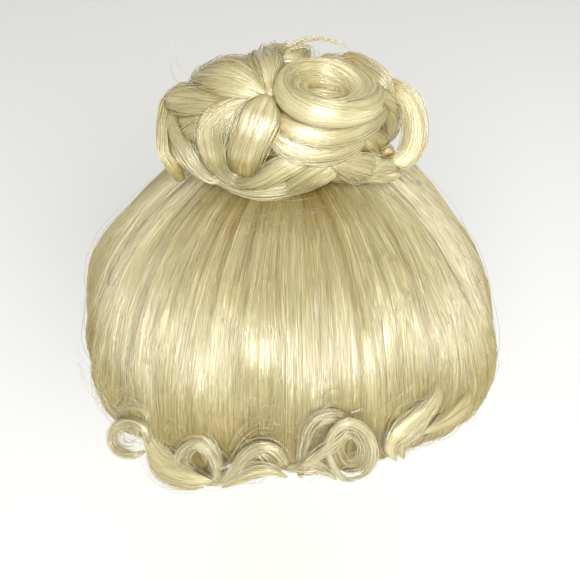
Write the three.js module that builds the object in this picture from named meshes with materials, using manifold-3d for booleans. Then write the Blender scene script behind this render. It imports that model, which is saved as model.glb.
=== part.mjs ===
// Updo costume wig: a padded-out front roll that runs round the whole head, a
// pinned bun of looped locks on the crown, and small curls along the front hem.
//
// Millimetres, +Z up, the face side is -Y and +X is the viewer's right.
// The origin is the crown apex of the hollow that the head goes into.
import * as THREE from 'three';
import Module from 'manifold-3d';

const wasm = await Module();
wasm.setup();

// ---- driving dimensions -------------------------------------------------
const HEAD_HALF_WIDTH = 75;      // hollow, ear to ear
const HEAD_FRONT = 87;           // hollow, crown axis to forehead
const HEAD_BACK = 93;            // hollow, crown axis to back of head
const HEAD_WIDEST_DEPTH = 88;    // hollow, apex down to its widest level
const NAPE_TAPER = 9;            // how far the hollow closes in again at the nape
const CAP_WALL = 2;              // foundation net
const GAP = 0.3;                 // clearance kept between neighbouring pieces
const CAP_HEM = { front: -55, side: -98, back: -119 };   // cap edge levels
const ROLL_COLUMNS = 44;         // columns round the roll
const ROLL_SQUARENESS = 2.2;     // plan outline exponent, 2 is an ellipse
const WAVE_COUNT = 13;           // soft lobes that the combed locks make
const WAVE_HEIGHT = 1.3;         // their depth at the widest level
const BUN_CENTRE = [0, 36, 60];  // where the lock stations are measured from
const BUN_LEAN = 39;             // degrees: the bun's show side faces this far up
const CORE = { centre: [-2, 37, 57], radii: [49, 35, 27] };
const ROSE = { centre: [19.5, 20.5, 87.5], outerRadius: 28, turns: 2.9, pitch: 6.7,
  band: 6.1, heightOuter: 12, heightInner: 8, bowlDrop: 5, tiltRight: 8, tiltBack: -3, start: 200 };
const LOCK_STEPS_PER_STATION = 2;
const LOCK_SIDES = 7;

// The roll's outer surface. A row per level from the bun down to the hem:
// centre is the level's centre along Y; side, front and back are its reaches;
// zFront, zSide and zBack are its heights.
const ROLL_LEVELS = [
  // centre, side, front, back, zFront, zSide, zBack
  { name: 'gather', row: [36, 14, 14, 14, 38, 37, 37] },
  { name: 'crown', row: [33, 34, 36, 34, 36, 32, 32] },
  { name: 'upper', row: [28, 54, 57, 53, 29, 21.5, 22] },
  { name: 'shoulder', row: [22, 75.5, 77, 71, 16.5, 9, 9] },
  { name: 'brow', row: [16, 94, 93, 86, -2, -7.5, -9] },
  { name: 'full_upper', row: [11, 107.5, 101, 96, -21, -26, -29] },
  { name: 'full', row: [7, 115, 103.5, 101, -37, -45, -52] },
  { name: 'widest', row: [4, 118, 103.5, 103, -48, -64, -76] },
  { name: 'lower', row: [2, 115.5, 100.5, 100, -55.5, -82, -96] },
  { name: 'turn', row: [1, 107, 96.5, 96, -60.5, -96, -111] },
  { name: 'tuck', row: [0.5, 97, 94, 93, -62.5, -104, -121] },
  { name: 'hem', row: [0, 88, 92.5, 90.5, -62, -106, -126] },
];

// The locks of the bun, measured from BUN_CENTRE. A row per section:
// across (to the right), up (along the show side), out (toward its viewer),
// width of the lock and its thickness.
const BUN_LOCKS = {
  u_loop: [
    [-11.5, 8.5, 33, 6, 6], [-23, 6.5, 33.5, 11, 7], [-32.5, 2, 32, 13, 8], [-37, -5, 30, 13, 9], [-36.5, -14.5, 27, 13, 9], [-33, -23.5, 16.5, 12, 9], [-23.5, -29.5, 15.5, 11, 9], [-13, -27.5, 24.5, 11, 8], [-2.5, -22, 32, 11, 7], [8, -17, 32.5, 9, 6],
  ],
  crescent_lock: [
    [-34, -30, 10.5, 6, 6], [-22.5, -34, 13.5, 9, 7], [-10, -34.5, 14.5, 13, 8], [1.5, -32, 13.5, 16, 8], [12.5, -26, 24, 16, 8], [21.5, -20.5, 26, 11, 6],
  ],
  left_diagonal_lock: [
    [-58.5, 3.5, 5.5, 7, 6], [-56.5, -6, 9, 11, 7], [-52, -14.5, 12, 12, 7], [-46, -23, 12.5, 12, 7], [-38.5, -30, 13, 10, 6],
  ],
  left_loop: [
    [-55.5, 14, -3.5, 5, 8], [-61, 8.5, 0, 5, 12], [-63, 0, 3.5, 5, 14], [-63.5, -9, 5.5, 5, 14], [-62.5, -17, 7.5, 5, 13], [-58.5, -24, 9, 7, 10],
  ],
  puff_left_upper: [
    [-57, 9, 3.5, 13, 11], [-46.5, 8, 14.5, 17, 13], [-36, 7.5, 26, 15, 12], [-25.5, 7.5, 31, 10, 8], [-16, 8, 32.5, 6, 6],
  ],
  puff_left_lower: [
    [-56.5, -4, 5.5, 10, 8], [-49.5, -4, 14, 14, 9], [-41, -2.5, 26, 12, 8],
  ],
  puff_top_left: [
    [-43.5, 17, -1.5, 14, 12], [-35.5, 17, 16.5, 20, 14], [-27.5, 16, 25, 23, 14], [-19.5, 13.5, 30, 17, 11], [-12, 10, 32, 8, 7],
  ],
  top_fan_lock: [
    [-14, 30, -4, 16, 9], [-13, 23.5, 19, 19, 10], [-11.5, 16.5, 28.5, 13, 9], [-10, 10, 32, 7, 6],
  ],
  center_tongue: [
    [-10.5, 8, 36, 9, 6], [-13.5, 2, 39, 13, 7], [-16.5, -5, 39.5, 15, 7], [-19.5, -12, 38, 16, 7], [-21.5, -18, 33.5, 16, 7], [-22.5, -24, 24, 14, 6],
  ],
  rose_band_upper: [
    [-4.5, -1, 37.5, 8, 6], [4, -5, 39.5, 11, 8], [15, -7, 39, 11, 8], [25.5, -5.5, 34, 11, 8], [36.5, -1, 25.5, 11, 8], [47, 6.5, 3, 9, 7],
  ],
  rose_band_lower: [
    [-8, -5.5, 36.5, 7, 6], [0.5, -11.5, 38, 11, 7], [11, -14.5, 37, 11, 7], [22.5, -13, 33, 11, 7], [32.5, -9.5, 27, 9, 6],
  ],
  right_lower_lock: [
    [22, -19, 28, 10, 7], [29.5, -21.5, 21, 13, 8], [38, -23.5, 13, 15, 9], [46, -24.5, 12, 14, 8], [53, -25, 9, 10, 6],
  ],
  right_mid_lock: [
    [29.5, -13, 27.5, 7, 6], [36.5, -13, 22.5, 10, 7], [44.5, -14.5, 9.5, 10, 7], [51, -17.5, 7.5, 8, 6],
  ],
  right_loop: [
    [48.5, 15.5, -3, 9, 5], [53.5, 13.5, 0.5, 10, 5], [58.5, 9.5, 2, 11, 5], [61.5, 2, 3.5, 11, 5], [62.5, -6, 5, 11, 5], [61, -14, 6.5, 11, 5], [57, -19.5, 7.5, 10, 5], [51.5, -21.5, 7.5, 8, 5],
  ],
  right_back_lock: [
    [31.5, 29.5, -8.5, 8, 8], [39, 24.5, -3.5, 10, 9], [45.5, 19, -0.5, 10, 9], [49.5, 13, 0.5, 10, 8], [50.5, 5.5, 2.5, 8, 7],
  ],
  top_tuft: [
    [-11, 29, -0.5, 6, 6], [-4.5, 34, -12, 9, 7], [3, 36.5, -12, 8, 6], [11, 36.5, -12, 4, 4],
  ],
};
const FRONT_CURLS = {
  temple_small_curl: { turn: -44, stations: [
    [-69, -81.5, -37, 6, 4], [-73, -77, -33, 7, 5], [-80.5, -72.5, -35.5, 8, 5], [-88, -70, -46, 7, 5], [-94.5, -60, -73, 6, 4],
  ] },
  temple_ring_curl: { turn: -40, stations: [
    [-71.5, -83.5, -50, 5, 4], [-74, -81.5, -44.5, 6, 5], [-81, -76.5, -47.5, 7, 5], [-92.5, -64, -69, 7, 5], [-97.5, -66.5, -75, 7, 5], [-96.5, -71.5, -79, 7, 5], [-91, -75.5, -79.5, 7, 5], [-84, -78, -78, 6, 5], [-77.5, -77, -74.5, 5, 4],
  ] },
  temple_lock: { turn: -36, stations: [
    [-72.5, -81, -40.5, 8, 5], [-70, -85.5, -48, 13, 7], [-65, -93, -53, 16, 9], [-57.5, -99, -54.5, 15, 9], [-48, -104.5, -53, 12, 8], [-38.5, -107, -51, 8, 6],
  ] },
  brow_curl_left: { turn: -24, stations: [
    [-37, -105, -52, 4, 4], [-36, -103.5, -41, 5, 7], [-39, -99.5, -34, 5, 8], [-45, -96, -32, 5, 9], [-51.5, -95.5, -37, 6, 9], [-56, -97, -46, 6, 8], [-54.5, -100.5, -53.5, 6, 7], [-48.5, -102.5, -56.5, 6, 6],
  ] },
  brow_arch_curl: { turn: -12, stations: [
    [-34, -105, -56.5, 5, 4], [-26.5, -103, -42.5, 7, 4], [-19.5, -101, -33.5, 8, 5], [-11.5, -100.5, -29, 8, 5], [-5.5, -103, -31.5, 8, 5], [-1, -106, -39, 6, 4],
  ] },
  brow_sweep_lock: { turn: -8, stations: [
    [-33.5, -105, -61.5, 5, 4], [-25.5, -104.5, -53.5, 8, 4], [-17, -104, -48, 10, 5], [-9, -104.5, -46.5, 10, 5], [-1, -105.5, -50.5, 7, 4],
  ] },
  brow_swirl_curl: { turn: 4, stations: [
    [5, -102, -40.5, 5, 4], [7, -99, -28.5, 7, 4], [10, -95.5, -19, 8, 5], [16, -93, -14.5, 8, 5], [23, -92, -15, 7, 4], [27.5, -92, -21, 5, 3],
  ] },
  brow_ring_curl: { turn: 10, stations: [
    [4, -105, -40.5, 5, 4], [12.5, -103.5, -32.5, 6, 4], [18.5, -101, -25.5, 5, 4], [21, -98.5, -17, 5, 4], [27, -96.5, -12.5, 6, 4], [33.5, -97, -16, 6, 4], [38.5, -98.5, -24, 6, 4], [40.5, -102, -33.5, 6, 4], [39, -105, -42.5, 6, 4], [34, -107.5, -47.5, 5, 3], [27, -107.5, -47, 4, 3],
  ] },
  right_ringlet: { turn: 30, stations: [
    [73.5, -72.5, -26, 7, 4], [67.5, -80.5, -28, 10, 6], [59.5, -86.5, -29.5, 11, 7], [53, -91.5, -31.5, 11, 7], [49.5, -96, -37.5, 10, 6], [53.5, -97.5, -48.5, 6, 4],
  ] },
  right_hem_lock: { turn: 42, stations: [
    [92.5, -64, -42.5, 8, 5], [85.5, -72.5, -42.5, 10, 7], [76.5, -79.5, -41.5, 10, 7], [67, -86, -40.5, 7, 5],
  ] },
};


// The plain rolls that close the bun's back. Same columns as the wig frame:
// x, y, z, width, thickness.
const BACK_PUFFS = {
  back_puff_left: [[-22, 53, 77, 18, 11], [-35, 63, 68, 25, 14], [-38, 69, 55, 25, 14], [-29, 67, 43, 18, 11]],
  back_puff_mid: [[-2, 62, 80, 20, 11], [-3, 73, 71, 27, 14], [-3, 78, 56, 28, 14], [-3, 73, 42, 22, 12]],
  back_puff_right: [[20, 55, 77, 18, 11], [32, 64, 68, 25, 14], [34, 68, 55, 25, 14], [26, 66, 43, 18, 11]],
  side_puff_right: [[41, 35, 74, 12, 10], [48, 39, 65, 16, 12], [49, 40, 54, 16, 12], [43, 38, 43, 12, 10]],
};

// ---- helpers ------------------------------------------------------------
const rad = (deg) => deg * Math.PI / 180;
const lerp = (a, b, f) => a + (b - a) * f;

function makeGeometry(points, faces) {
  let volume = 0;
  for (const [a, b, c] of faces) {
    const [p, q, r] = [points[a], points[b], points[c]];
    volume += p[0] * (q[1] * r[2] - q[2] * r[1]) - p[1] * (q[0] * r[2] - q[2] * r[0]) + p[2] * (q[0] * r[1] - q[1] * r[0]);
  }
  const index = volume > 0 ? faces.flat() : faces.map(([a, b, c]) => [a, c, b]).flat();
  const geometry = new THREE.BufferGeometry();
  geometry.setAttribute('position', new THREE.Float32BufferAttribute(points.flat(), 3));
  geometry.setIndex(index);
  return geometry;
}

function toSolid(geometry) {
  return new wasm.Manifold(new wasm.Mesh({
    numProp: 3,
    vertProperties: new Float32Array(geometry.attributes.position.array),
    triVerts: new Uint32Array(geometry.index.array),
  }));
}

function fromSolid(solid) {
  const mesh = solid.getMesh();
  const geometry = new THREE.BufferGeometry();
  geometry.setAttribute('position', new THREE.Float32BufferAttribute(Array.from(mesh.vertProperties), 3));
  geometry.setIndex(Array.from(mesh.triVerts));
  return geometry;
}

// Skins a stack of closed rings, and closes both ends with a fan to a point.
// From row `turnRow` on, the quads are split along their other diagonal, so that a
// wall's inner face can match the outer face of what it fits over.
function skinRings(rings, startPoint, endPoint, turnRow = Infinity) {
  const n = rings[0].length, points = rings.flat(), faces = [];
  for (let i = 0; i < rings.length - 1; i++)
    for (let k = 0; k < n; k++) {
      const a = i * n + k, b = i * n + (k + 1) % n, c = a + n, d = b + n;
      if (i < turnRow) faces.push([a, b, d], [a, d, c]);
      else faces.push([a, b, c], [b, d, c]);
    }
  const s = points.push(startPoint) - 1, e = points.push(endPoint) - 1, last = (rings.length - 1) * n;
  for (let k = 0; k < n; k++) {
    faces.push([s, (k + 1) % n, k]);
    faces.push([e, last + k, last + (k + 1) % n]);
  }
  return makeGeometry(points, faces);
}

// ---- head hollow, cap and roll -------------------------------------------
const cosMix = (phi, front, side, back) => {
  const c = Math.cos(phi), s2 = Math.sin(phi) ** 2;
  return c > 0 ? lerp(front, side, s2 * s2) : lerp(back, side, s2);
};

// A ring of the head form, offset outward by `offset`, at depth share `f` of the hem.
function headRing(f, offset, extra = 0) {
  const ring = [];
  for (let k = 0; k < ROLL_COLUMNS; k++) {
    const phi = 2 * Math.PI * k / ROLL_COLUMNS;
    const hem = cosMix(phi, CAP_HEM.front, CAP_HEM.side, CAP_HEM.back) - extra;
    const depth = -hem * f, level = Math.min(depth / HEAD_WIDEST_DEPTH, 1);
    const reach = Math.sqrt(Math.max(0, 1 - (1 - level) ** 2));
    const below = Math.max(0, depth - HEAD_WIDEST_DEPTH) / 40;
    const front = HEAD_FRONT * reach + offset, back = (HEAD_BACK - NAPE_TAPER * below * below) * reach + offset;
    const side = (HEAD_HALF_WIDTH - 3 * below * below) * reach + offset;
    const c = Math.cos(phi), s = Math.sin(phi);
    ring.push([side * s, -(c > 0 ? front : back) * c, -depth + offset * (1 - level) * 0.98]);
  }
  return ring;
}

const HEAD_SHARES = [0.05, 0.18, 0.4, 0.7, 1];

function capGeometry() {
  const inner = HEAD_SHARES.map((f) => headRing(f, 0)).reverse();
  const outer = HEAD_SHARES.map((f) => headRing(f, CAP_WALL));
  return skinRings([...outer, ...inner], [0, 0, CAP_WALL], [0, 0, 0]);
}

// One level of the roll's outer surface; t runs over ROLL_LEVELS.
function rollRing(row, level, grow) {
  const [yc, side, front, back, zFront, zSide, zBack] = row, ring = [];
  for (let k = 0; k < ROLL_COLUMNS; k++) {
    const phi = 2 * Math.PI * k / ROLL_COLUMNS, c = Math.cos(phi), s = Math.sin(phi);
    const q = (Math.abs(c) ** ROLL_SQUARENESS + Math.abs(s) ** ROLL_SQUARENESS) ** (-1 / ROLL_SQUARENESS);
    const swell = WAVE_HEIGHT * Math.sin(WAVE_COUNT * phi + 1.1 * Math.sin(2 * phi)) * Math.sin(Math.PI * Math.min(1, level / 9)) + grow;
    ring.push([(side + swell) * s * q, yc - ((c > 0 ? front : back) + swell) * c * q,
      cosMix(phi, zFront, zSide, zBack) + (level < 5 ? grow : 0)]);
  }
  return ring;
}

function rollGeometry(grow = 0) {
  const outer = ROLL_LEVELS.map(({ row }, i) => rollRing(row, i, grow));
  const wall = CAP_WALL + GAP - grow;
  const inner = [headRing(1, wall + 0.5, 2.5), ...HEAD_SHARES.map((f) => headRing(f, wall)).reverse()];
  return skinRings([...outer, ...inner], [0, 36, 38.5 + grow], [0, 0, wall], outer.length);
}

// ---- locks ----------------------------------------------------------------
// Sweeps a rounded section along the stations. `facing(p)` gives the direction
// that the lock's flat side looks in.
function lockGeometry(stations, facing, grow = 0, sides = LOCK_SIDES) {
  const curve = new THREE.CatmullRomCurve3(stations.map((s) => new THREE.Vector3(s[0], s[1], s[2])), false, 'centripetal');
  const steps = (stations.length - 1) * LOCK_STEPS_PER_STATION, rings = [];
  const at = (column, u) => {
    const i = Math.min(stations.length - 2, Math.floor(u)), f = u - i, e = f * f * (3 - 2 * f);
    return lerp(stations[i][column], stations[i + 1][column], e);
  };
  const ringAt = (u, scale, push) => {
    const g = Math.min(1, Math.max(0, u / (stations.length - 1)));
    const p = curve.getPoint(g), t = curve.getTangent(g);
    const n = facing(p), w = new THREE.Vector3().crossVectors(t, n).normalize();
    n.crossVectors(w, t).normalize();
    p.addScaledVector(t, push);
    const hw = (at(3, Math.min(stations.length - 1, u)) / 2) * scale + grow, ht = (at(4, Math.min(stations.length - 1, u)) / 2) * scale + grow;
    const ring = [];
    for (let k = 0; k < sides; k++) {
      const a = 2 * Math.PI * (k + 0.5) / sides;
      const v = p.clone().addScaledVector(w, hw * Math.cos(a) * 1.04).addScaledVector(n, ht * Math.sin(a) * 1.04);
      ring.push(v.toArray());
    }
    return ring;
  };
  const last = stations.length - 1;
  const tip = (s, sign) => {
    const g = sign < 0 ? 0 : 1, p = curve.getPoint(g), t = curve.getTangent(g);
    return p.addScaledVector(t, sign * (Math.min(s[3], s[4]) * 0.35 + grow)).toArray();
  };
  for (let i = 0; i <= steps; i++) rings.push(ringAt(i / LOCK_STEPS_PER_STATION, i === 0 || i === steps ? 0.8 : 1, 0));
  return skinRings(rings, tip(stations[0], -1), tip(stations[last], 1));
}

const LEAN = rad(BUN_LEAN);
const BUN_UP = new THREE.Vector3(0, Math.sin(LEAN), Math.cos(LEAN));
const BUN_OUT = new THREE.Vector3(0, -Math.cos(LEAN), Math.sin(LEAN));
const fromBun = ([a, u, o, w, t]) => {
  const p = new THREE.Vector3(...BUN_CENTRE).addScaledVector(new THREE.Vector3(1, 0, 0), a).addScaledVector(BUN_UP, u).addScaledVector(BUN_OUT, o);
  return [p.x, p.y, p.z, w, t];
};
const coreFacing = (p) => {
  const [c, r] = [CORE.centre, CORE.radii];
  return new THREE.Vector3((p.x - c[0]) / r[0] ** 2, (p.y - c[1]) / r[1] ** 2, (p.z - c[2]) / r[2] ** 2).normalize();
};
const showFacing = () => BUN_OUT.clone();
const frontFacing = (turn) => () => {
  const e = rad(30), a = rad(turn);
  return new THREE.Vector3(Math.sin(a) * Math.cos(e), -Math.cos(a) * Math.cos(e), Math.sin(e));
};

function coreGeometry(grow = 0) {
  const rings = [], [cx, cy, cz] = CORE.centre, [rx, ry, rz] = CORE.radii, rows = 9, cols = 24;
  for (let i = 1; i < rows; i++) {
    const v = Math.PI * i / rows, ring = [];
    for (let k = 0; k < cols; k++) {
      const h = 2 * Math.PI * k / cols;
      ring.push([cx + (rx + grow) * Math.sin(v) * Math.cos(h), cy + (ry + grow) * Math.sin(v) * Math.sin(h), cz + (rz + grow) * Math.cos(v)]);
    }
    rings.push(ring);
  }
  return skinRings(rings, [cx, cy, cz + rz + grow], [cx, cy, cz - rz - grow]);
}

// The flat coil: a band wound inward like a rose, higher at its outer turn, so
// its middle is a shallow bowl.
function roseGeometry(grow = 0) {
  const { centre, outerRadius, turns, pitch, band, heightOuter, heightInner, bowlDrop, start } = ROSE;
  const steps = Math.round(turns * 13), rings = [], sides = 6;
  const frame = new THREE.Matrix4().makeRotationY(rad(ROSE.tiltRight)).multiply(new THREE.Matrix4().makeRotationX(rad(ROSE.tiltBack)));
  const place = (v) => v.applyMatrix4(frame).add(new THREE.Vector3(...centre));
  const section = (f, scale, along) => {
    const a = rad(start) - 2 * Math.PI * turns * f, r = outerRadius - band / 2 - pitch * turns * f;
    const height = lerp(heightOuter, heightInner, f), drop = -bowlDrop * f, ring = [];
    const radial = new THREE.Vector3(Math.cos(a), Math.sin(a), 0), ahead = new THREE.Vector3(Math.sin(a), -Math.cos(a), 0);
    for (let k = 0; k < sides; k++) {
      const q = 2 * Math.PI * (k + 0.5) / sides, hw = (band / 2) * scale + grow, hh = (height / 2) * scale + grow;
      ring.push(place(radial.clone().multiplyScalar(r + hw * Math.cos(q) * 1.15).addScaledVector(ahead, along)
        .add(new THREE.Vector3(0, 0, drop + hh * Math.sin(q)))).toArray());
    }
    return ring;
  };
  const tip = (f, along) => {
    const a = rad(start) - 2 * Math.PI * turns * f, r = outerRadius - band / 2 - pitch * turns * f;
    return place(new THREE.Vector3(Math.cos(a) * r + Math.sin(a) * along, Math.sin(a) * r - Math.cos(a) * along, -bowlDrop * f)).toArray();
  };
  for (let i = 0; i <= steps; i++) rings.push(section(i / steps, i === 0 || i === steps ? 0.7 : 1, 0));
  return skinRings(rings, tip(0, -2.5 - grow), tip(1, 2.5 + grow));
}

// ---- the assembly -----------------------------------------------------------
const HAIR = { light: '#ded6a8', mid: '#d3c998', deep: '#b9aa6c', net: '#c9bd8c' };

const pieces = [
  { name: 'wig_cap', build: () => capGeometry(), colour: HAIR.net, roughness: 0.8, whole: true },
  { name: 'bouffant', build: rollGeometry, colour: HAIR.light, whole: true },
  { name: 'bun_core', build: coreGeometry, colour: HAIR.deep },
  ...Object.entries(BACK_PUFFS).map(([name, rows]) => ({ name, build: (g) => lockGeometry(rows, coreFacing, g), colour: HAIR.mid })),
  { name: 'rose_roll', build: roseGeometry, colour: HAIR.light },
  ...Object.entries(BUN_LOCKS).map(([name, rows]) => ({
    name, build: (g) => lockGeometry(rows.map(fromBun), name.endsWith('_loop') && name !== 'u_loop' ? showFacing : coreFacing, g), colour: HAIR.mid,
  })),
  ...Object.entries(FRONT_CURLS).map(([name, { turn, stations }]) => ({
    name, build: (g) => lockGeometry(stations, frontFacing(turn), g, 6), colour: HAIR.light,
  })),
];
// Locks that lie deeper are settled first, and those over them are shaped round them.
const ORDER = ['wig_cap', 'bouffant', 'bun_core', 'back_puff_left', 'back_puff_mid', 'back_puff_right', 'side_puff_right',
  'rose_roll', 'top_tuft', 'right_back_lock', 'right_mid_lock', 'left_loop', 'right_loop', 'crescent_lock', 'right_lower_lock',
  'rose_band_lower', 'rose_band_upper', 'puff_left_lower', 'puff_top_left', 'puff_left_upper', 'top_fan_lock', 'left_diagonal_lock', 'u_loop', 'center_tongue',
  'temple_small_curl', 'temple_lock', 'temple_ring_curl', 'brow_curl_left', 'brow_arch_curl', 'brow_sweep_lock',
  'brow_swirl_curl', 'brow_ring_curl', 'right_hem_lock', 'right_ringlet'];

const wig = new THREE.Group();
wig.name = 'updo_costume_wig';
const cutters = [];
for (const name of ORDER) {
  const piece = pieces.find((p) => p.name === name);
  let geometry = piece.build(0);
  let solid = toSolid(geometry);
  if (!piece.whole) {
    const box = solid.boundingBox();
    for (const other of cutters) {
      const b = other.box;
      if ([0, 1, 2].some((i) => b.min[i] > box.max[i] || b.max[i] < box.min[i])) continue;
      solid = solid.subtract(other.solid);
    }
    const bodies = solid.decompose().sort((a, b) => b.volume() - a.volume());
    solid = bodies[0];
    geometry = fromSolid(solid);
  }
  if (name !== 'wig_cap') {
    const grown = toSolid(piece.build(GAP));
    cutters.push({ solid: grown, box: grown.boundingBox() });
  }
  geometry.computeVertexNormals();
  const material = new THREE.MeshStandardMaterial({ color: piece.colour, roughness: piece.roughness ?? 0.42, metalness: 0 });
  const mesh = new THREE.Mesh(geometry, material);
  mesh.name = name;
  wig.add(mesh);
}

export default wig;
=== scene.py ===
# Updo costume wig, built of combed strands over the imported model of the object.
# Lengths in the tables are millimetres in the wig's frame; meshes are metres.
import math
import bpy
import numpy as np
from mathutils import Matrix, Vector


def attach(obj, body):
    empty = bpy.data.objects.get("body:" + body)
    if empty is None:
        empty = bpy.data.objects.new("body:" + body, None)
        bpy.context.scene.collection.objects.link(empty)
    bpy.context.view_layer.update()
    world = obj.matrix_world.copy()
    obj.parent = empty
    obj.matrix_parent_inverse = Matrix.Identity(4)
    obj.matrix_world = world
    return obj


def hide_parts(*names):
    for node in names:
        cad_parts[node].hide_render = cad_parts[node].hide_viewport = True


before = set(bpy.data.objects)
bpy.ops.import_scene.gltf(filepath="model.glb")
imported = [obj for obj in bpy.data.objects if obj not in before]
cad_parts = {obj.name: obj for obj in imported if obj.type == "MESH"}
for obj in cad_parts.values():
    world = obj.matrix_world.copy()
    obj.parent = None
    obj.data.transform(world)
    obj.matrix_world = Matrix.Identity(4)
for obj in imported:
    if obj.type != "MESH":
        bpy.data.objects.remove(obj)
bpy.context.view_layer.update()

MM = 0.001
rng = np.random.default_rng(11)

# ---------------------------------------------------------------- tables (mm)
# The roll's outer surface, a row per level from the bun down to the hem:
# centre along Y, side, front and back reach, then the front, side and back heights.
ROLL_LEVELS = np.array([
    (36, 14, 14, 14, 38, 37, 37),  # gather
    (33, 34, 36, 34, 36, 32, 32),  # crown
    (28, 54, 57, 53, 29, 21.5, 22),  # upper
    (22, 75.5, 77, 71, 16.5, 9, 9),  # shoulder
    (16, 94, 93, 86, -2, -7.5, -9),  # brow
    (11, 107.5, 101, 96, -21, -26, -29),  # full_upper
    (7, 115, 103.5, 101, -37, -45, -52),  # full
    (4, 118, 103.5, 103, -48, -64, -76),  # widest
    (2, 115.5, 100.5, 100, -55.5, -82, -96),  # lower
    (1, 107, 96.5, 96, -60.5, -96, -111),  # turn
    (0.5, 97, 94, 93, -62.5, -104, -121),  # tuck
    (0, 88, 92.5, 90.5, -62, -106, -126),  # hem
], float)
BUN_CENTRE = np.array([0, 36, 60.])
BUN_LEAN = math.radians(39)
CORE_CENTRE = np.array([-2, 37, 57.])
CORE_RADII = np.array([49, 35, 27.])
BUN_UP = np.array([0, math.sin(BUN_LEAN), math.cos(BUN_LEAN)])
BUN_OUT = np.array([0, -math.cos(BUN_LEAN), math.sin(BUN_LEAN)])

# Locks of the bun, from BUN_CENTRE: across, up, out, width, thickness.
BUN_LOCKS = {
    "u_loop": [(-11.5, 8.5, 33, 6, 6), (-23, 6.5, 33.5, 11, 7), (-32.5, 2, 32, 13, 8), (-37, -5, 30, 13, 9), (-36.5, -14.5, 27, 13, 9), (-33, -23.5, 16.5, 12, 9), (-23.5, -29.5, 15.5, 11, 9), (-13, -27.5, 24.5, 11, 8), (-2.5, -22, 32, 11, 7), (8, -17, 32.5, 9, 6)],
    "crescent_lock": [(-34, -30, 10.5, 6, 6), (-22.5, -34, 13.5, 9, 7), (-10, -34.5, 14.5, 13, 8), (1.5, -32, 13.5, 16, 8), (12.5, -26, 24, 16, 8), (21.5, -20.5, 26, 11, 6)],
    "left_diagonal_lock": [(-58.5, 3.5, 5.5, 7, 6), (-56.5, -6, 9, 11, 7), (-52, -14.5, 12, 12, 7), (-46, -23, 12.5, 12, 7), (-38.5, -30, 13, 10, 6)],
    "left_loop": [(-55.5, 14, -3.5, 5, 8), (-61, 8.5, 0, 5, 12), (-63, 0, 3.5, 5, 14), (-63.5, -9, 5.5, 5, 14), (-62.5, -17, 7.5, 5, 13), (-58.5, -24, 9, 7, 10)],
    "puff_left_upper": [(-57, 9, 3.5, 13, 11), (-46.5, 8, 14.5, 17, 13), (-36, 7.5, 26, 15, 12), (-25.5, 7.5, 31, 10, 8), (-16, 8, 32.5, 6, 6)],
    "puff_left_lower": [(-56.5, -4, 5.5, 10, 8), (-49.5, -4, 14, 14, 9), (-41, -2.5, 26, 12, 8)],
    "puff_top_left": [(-43.5, 17, -1.5, 14, 12), (-35.5, 17, 16.5, 20, 14), (-27.5, 16, 25, 23, 14), (-19.5, 13.5, 30, 17, 11), (-12, 10, 32, 8, 7)],
    "top_fan_lock": [(-14, 30, -4, 16, 9), (-13, 23.5, 19, 19, 10), (-11.5, 16.5, 28.5, 13, 9), (-10, 10, 32, 7, 6)],
    "center_tongue": [(-10.5, 8, 36, 9, 6), (-13.5, 2, 39, 13, 7), (-16.5, -5, 39.5, 15, 7), (-19.5, -12, 38, 16, 7), (-21.5, -18, 33.5, 16, 7), (-22.5, -24, 24, 14, 6)],
    "rose_band_upper": [(-4.5, -1, 37.5, 8, 6), (4, -5, 39.5, 11, 8), (15, -7, 39, 11, 8), (25.5, -5.5, 34, 11, 8), (36.5, -1, 25.5, 11, 8), (47, 6.5, 3, 9, 7)],
    "rose_band_lower": [(-8, -5.5, 36.5, 7, 6), (0.5, -11.5, 38, 11, 7), (11, -14.5, 37, 11, 7), (22.5, -13, 33, 11, 7), (32.5, -9.5, 27, 9, 6)],
    "right_lower_lock": [(22, -19, 28, 10, 7), (29.5, -21.5, 21, 13, 8), (38, -23.5, 13, 15, 9), (46, -24.5, 12, 14, 8), (53, -25, 9, 10, 6)],
    "right_mid_lock": [(29.5, -13, 27.5, 7, 6), (36.5, -13, 22.5, 10, 7), (44.5, -14.5, 9.5, 10, 7), (51, -17.5, 7.5, 8, 6)],
    "right_loop": [(48.5, 15.5, -3, 9, 5), (53.5, 13.5, 0.5, 10, 5), (58.5, 9.5, 2, 11, 5), (61.5, 2, 3.5, 11, 5), (62.5, -6, 5, 11, 5), (61, -14, 6.5, 11, 5), (57, -19.5, 7.5, 10, 5), (51.5, -21.5, 7.5, 8, 5)],
    "right_back_lock": [(31.5, 29.5, -8.5, 8, 8), (39, 24.5, -3.5, 10, 9), (45.5, 19, -0.5, 10, 9), (49.5, 13, 0.5, 10, 8), (50.5, 5.5, 2.5, 8, 7)],
    "top_tuft": [(-11, 29, -0.5, 6, 6), (-4.5, 34, -12, 9, 7), (3, 36.5, -12, 8, 6), (11, 36.5, -12, 4, 4)],
}
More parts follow.
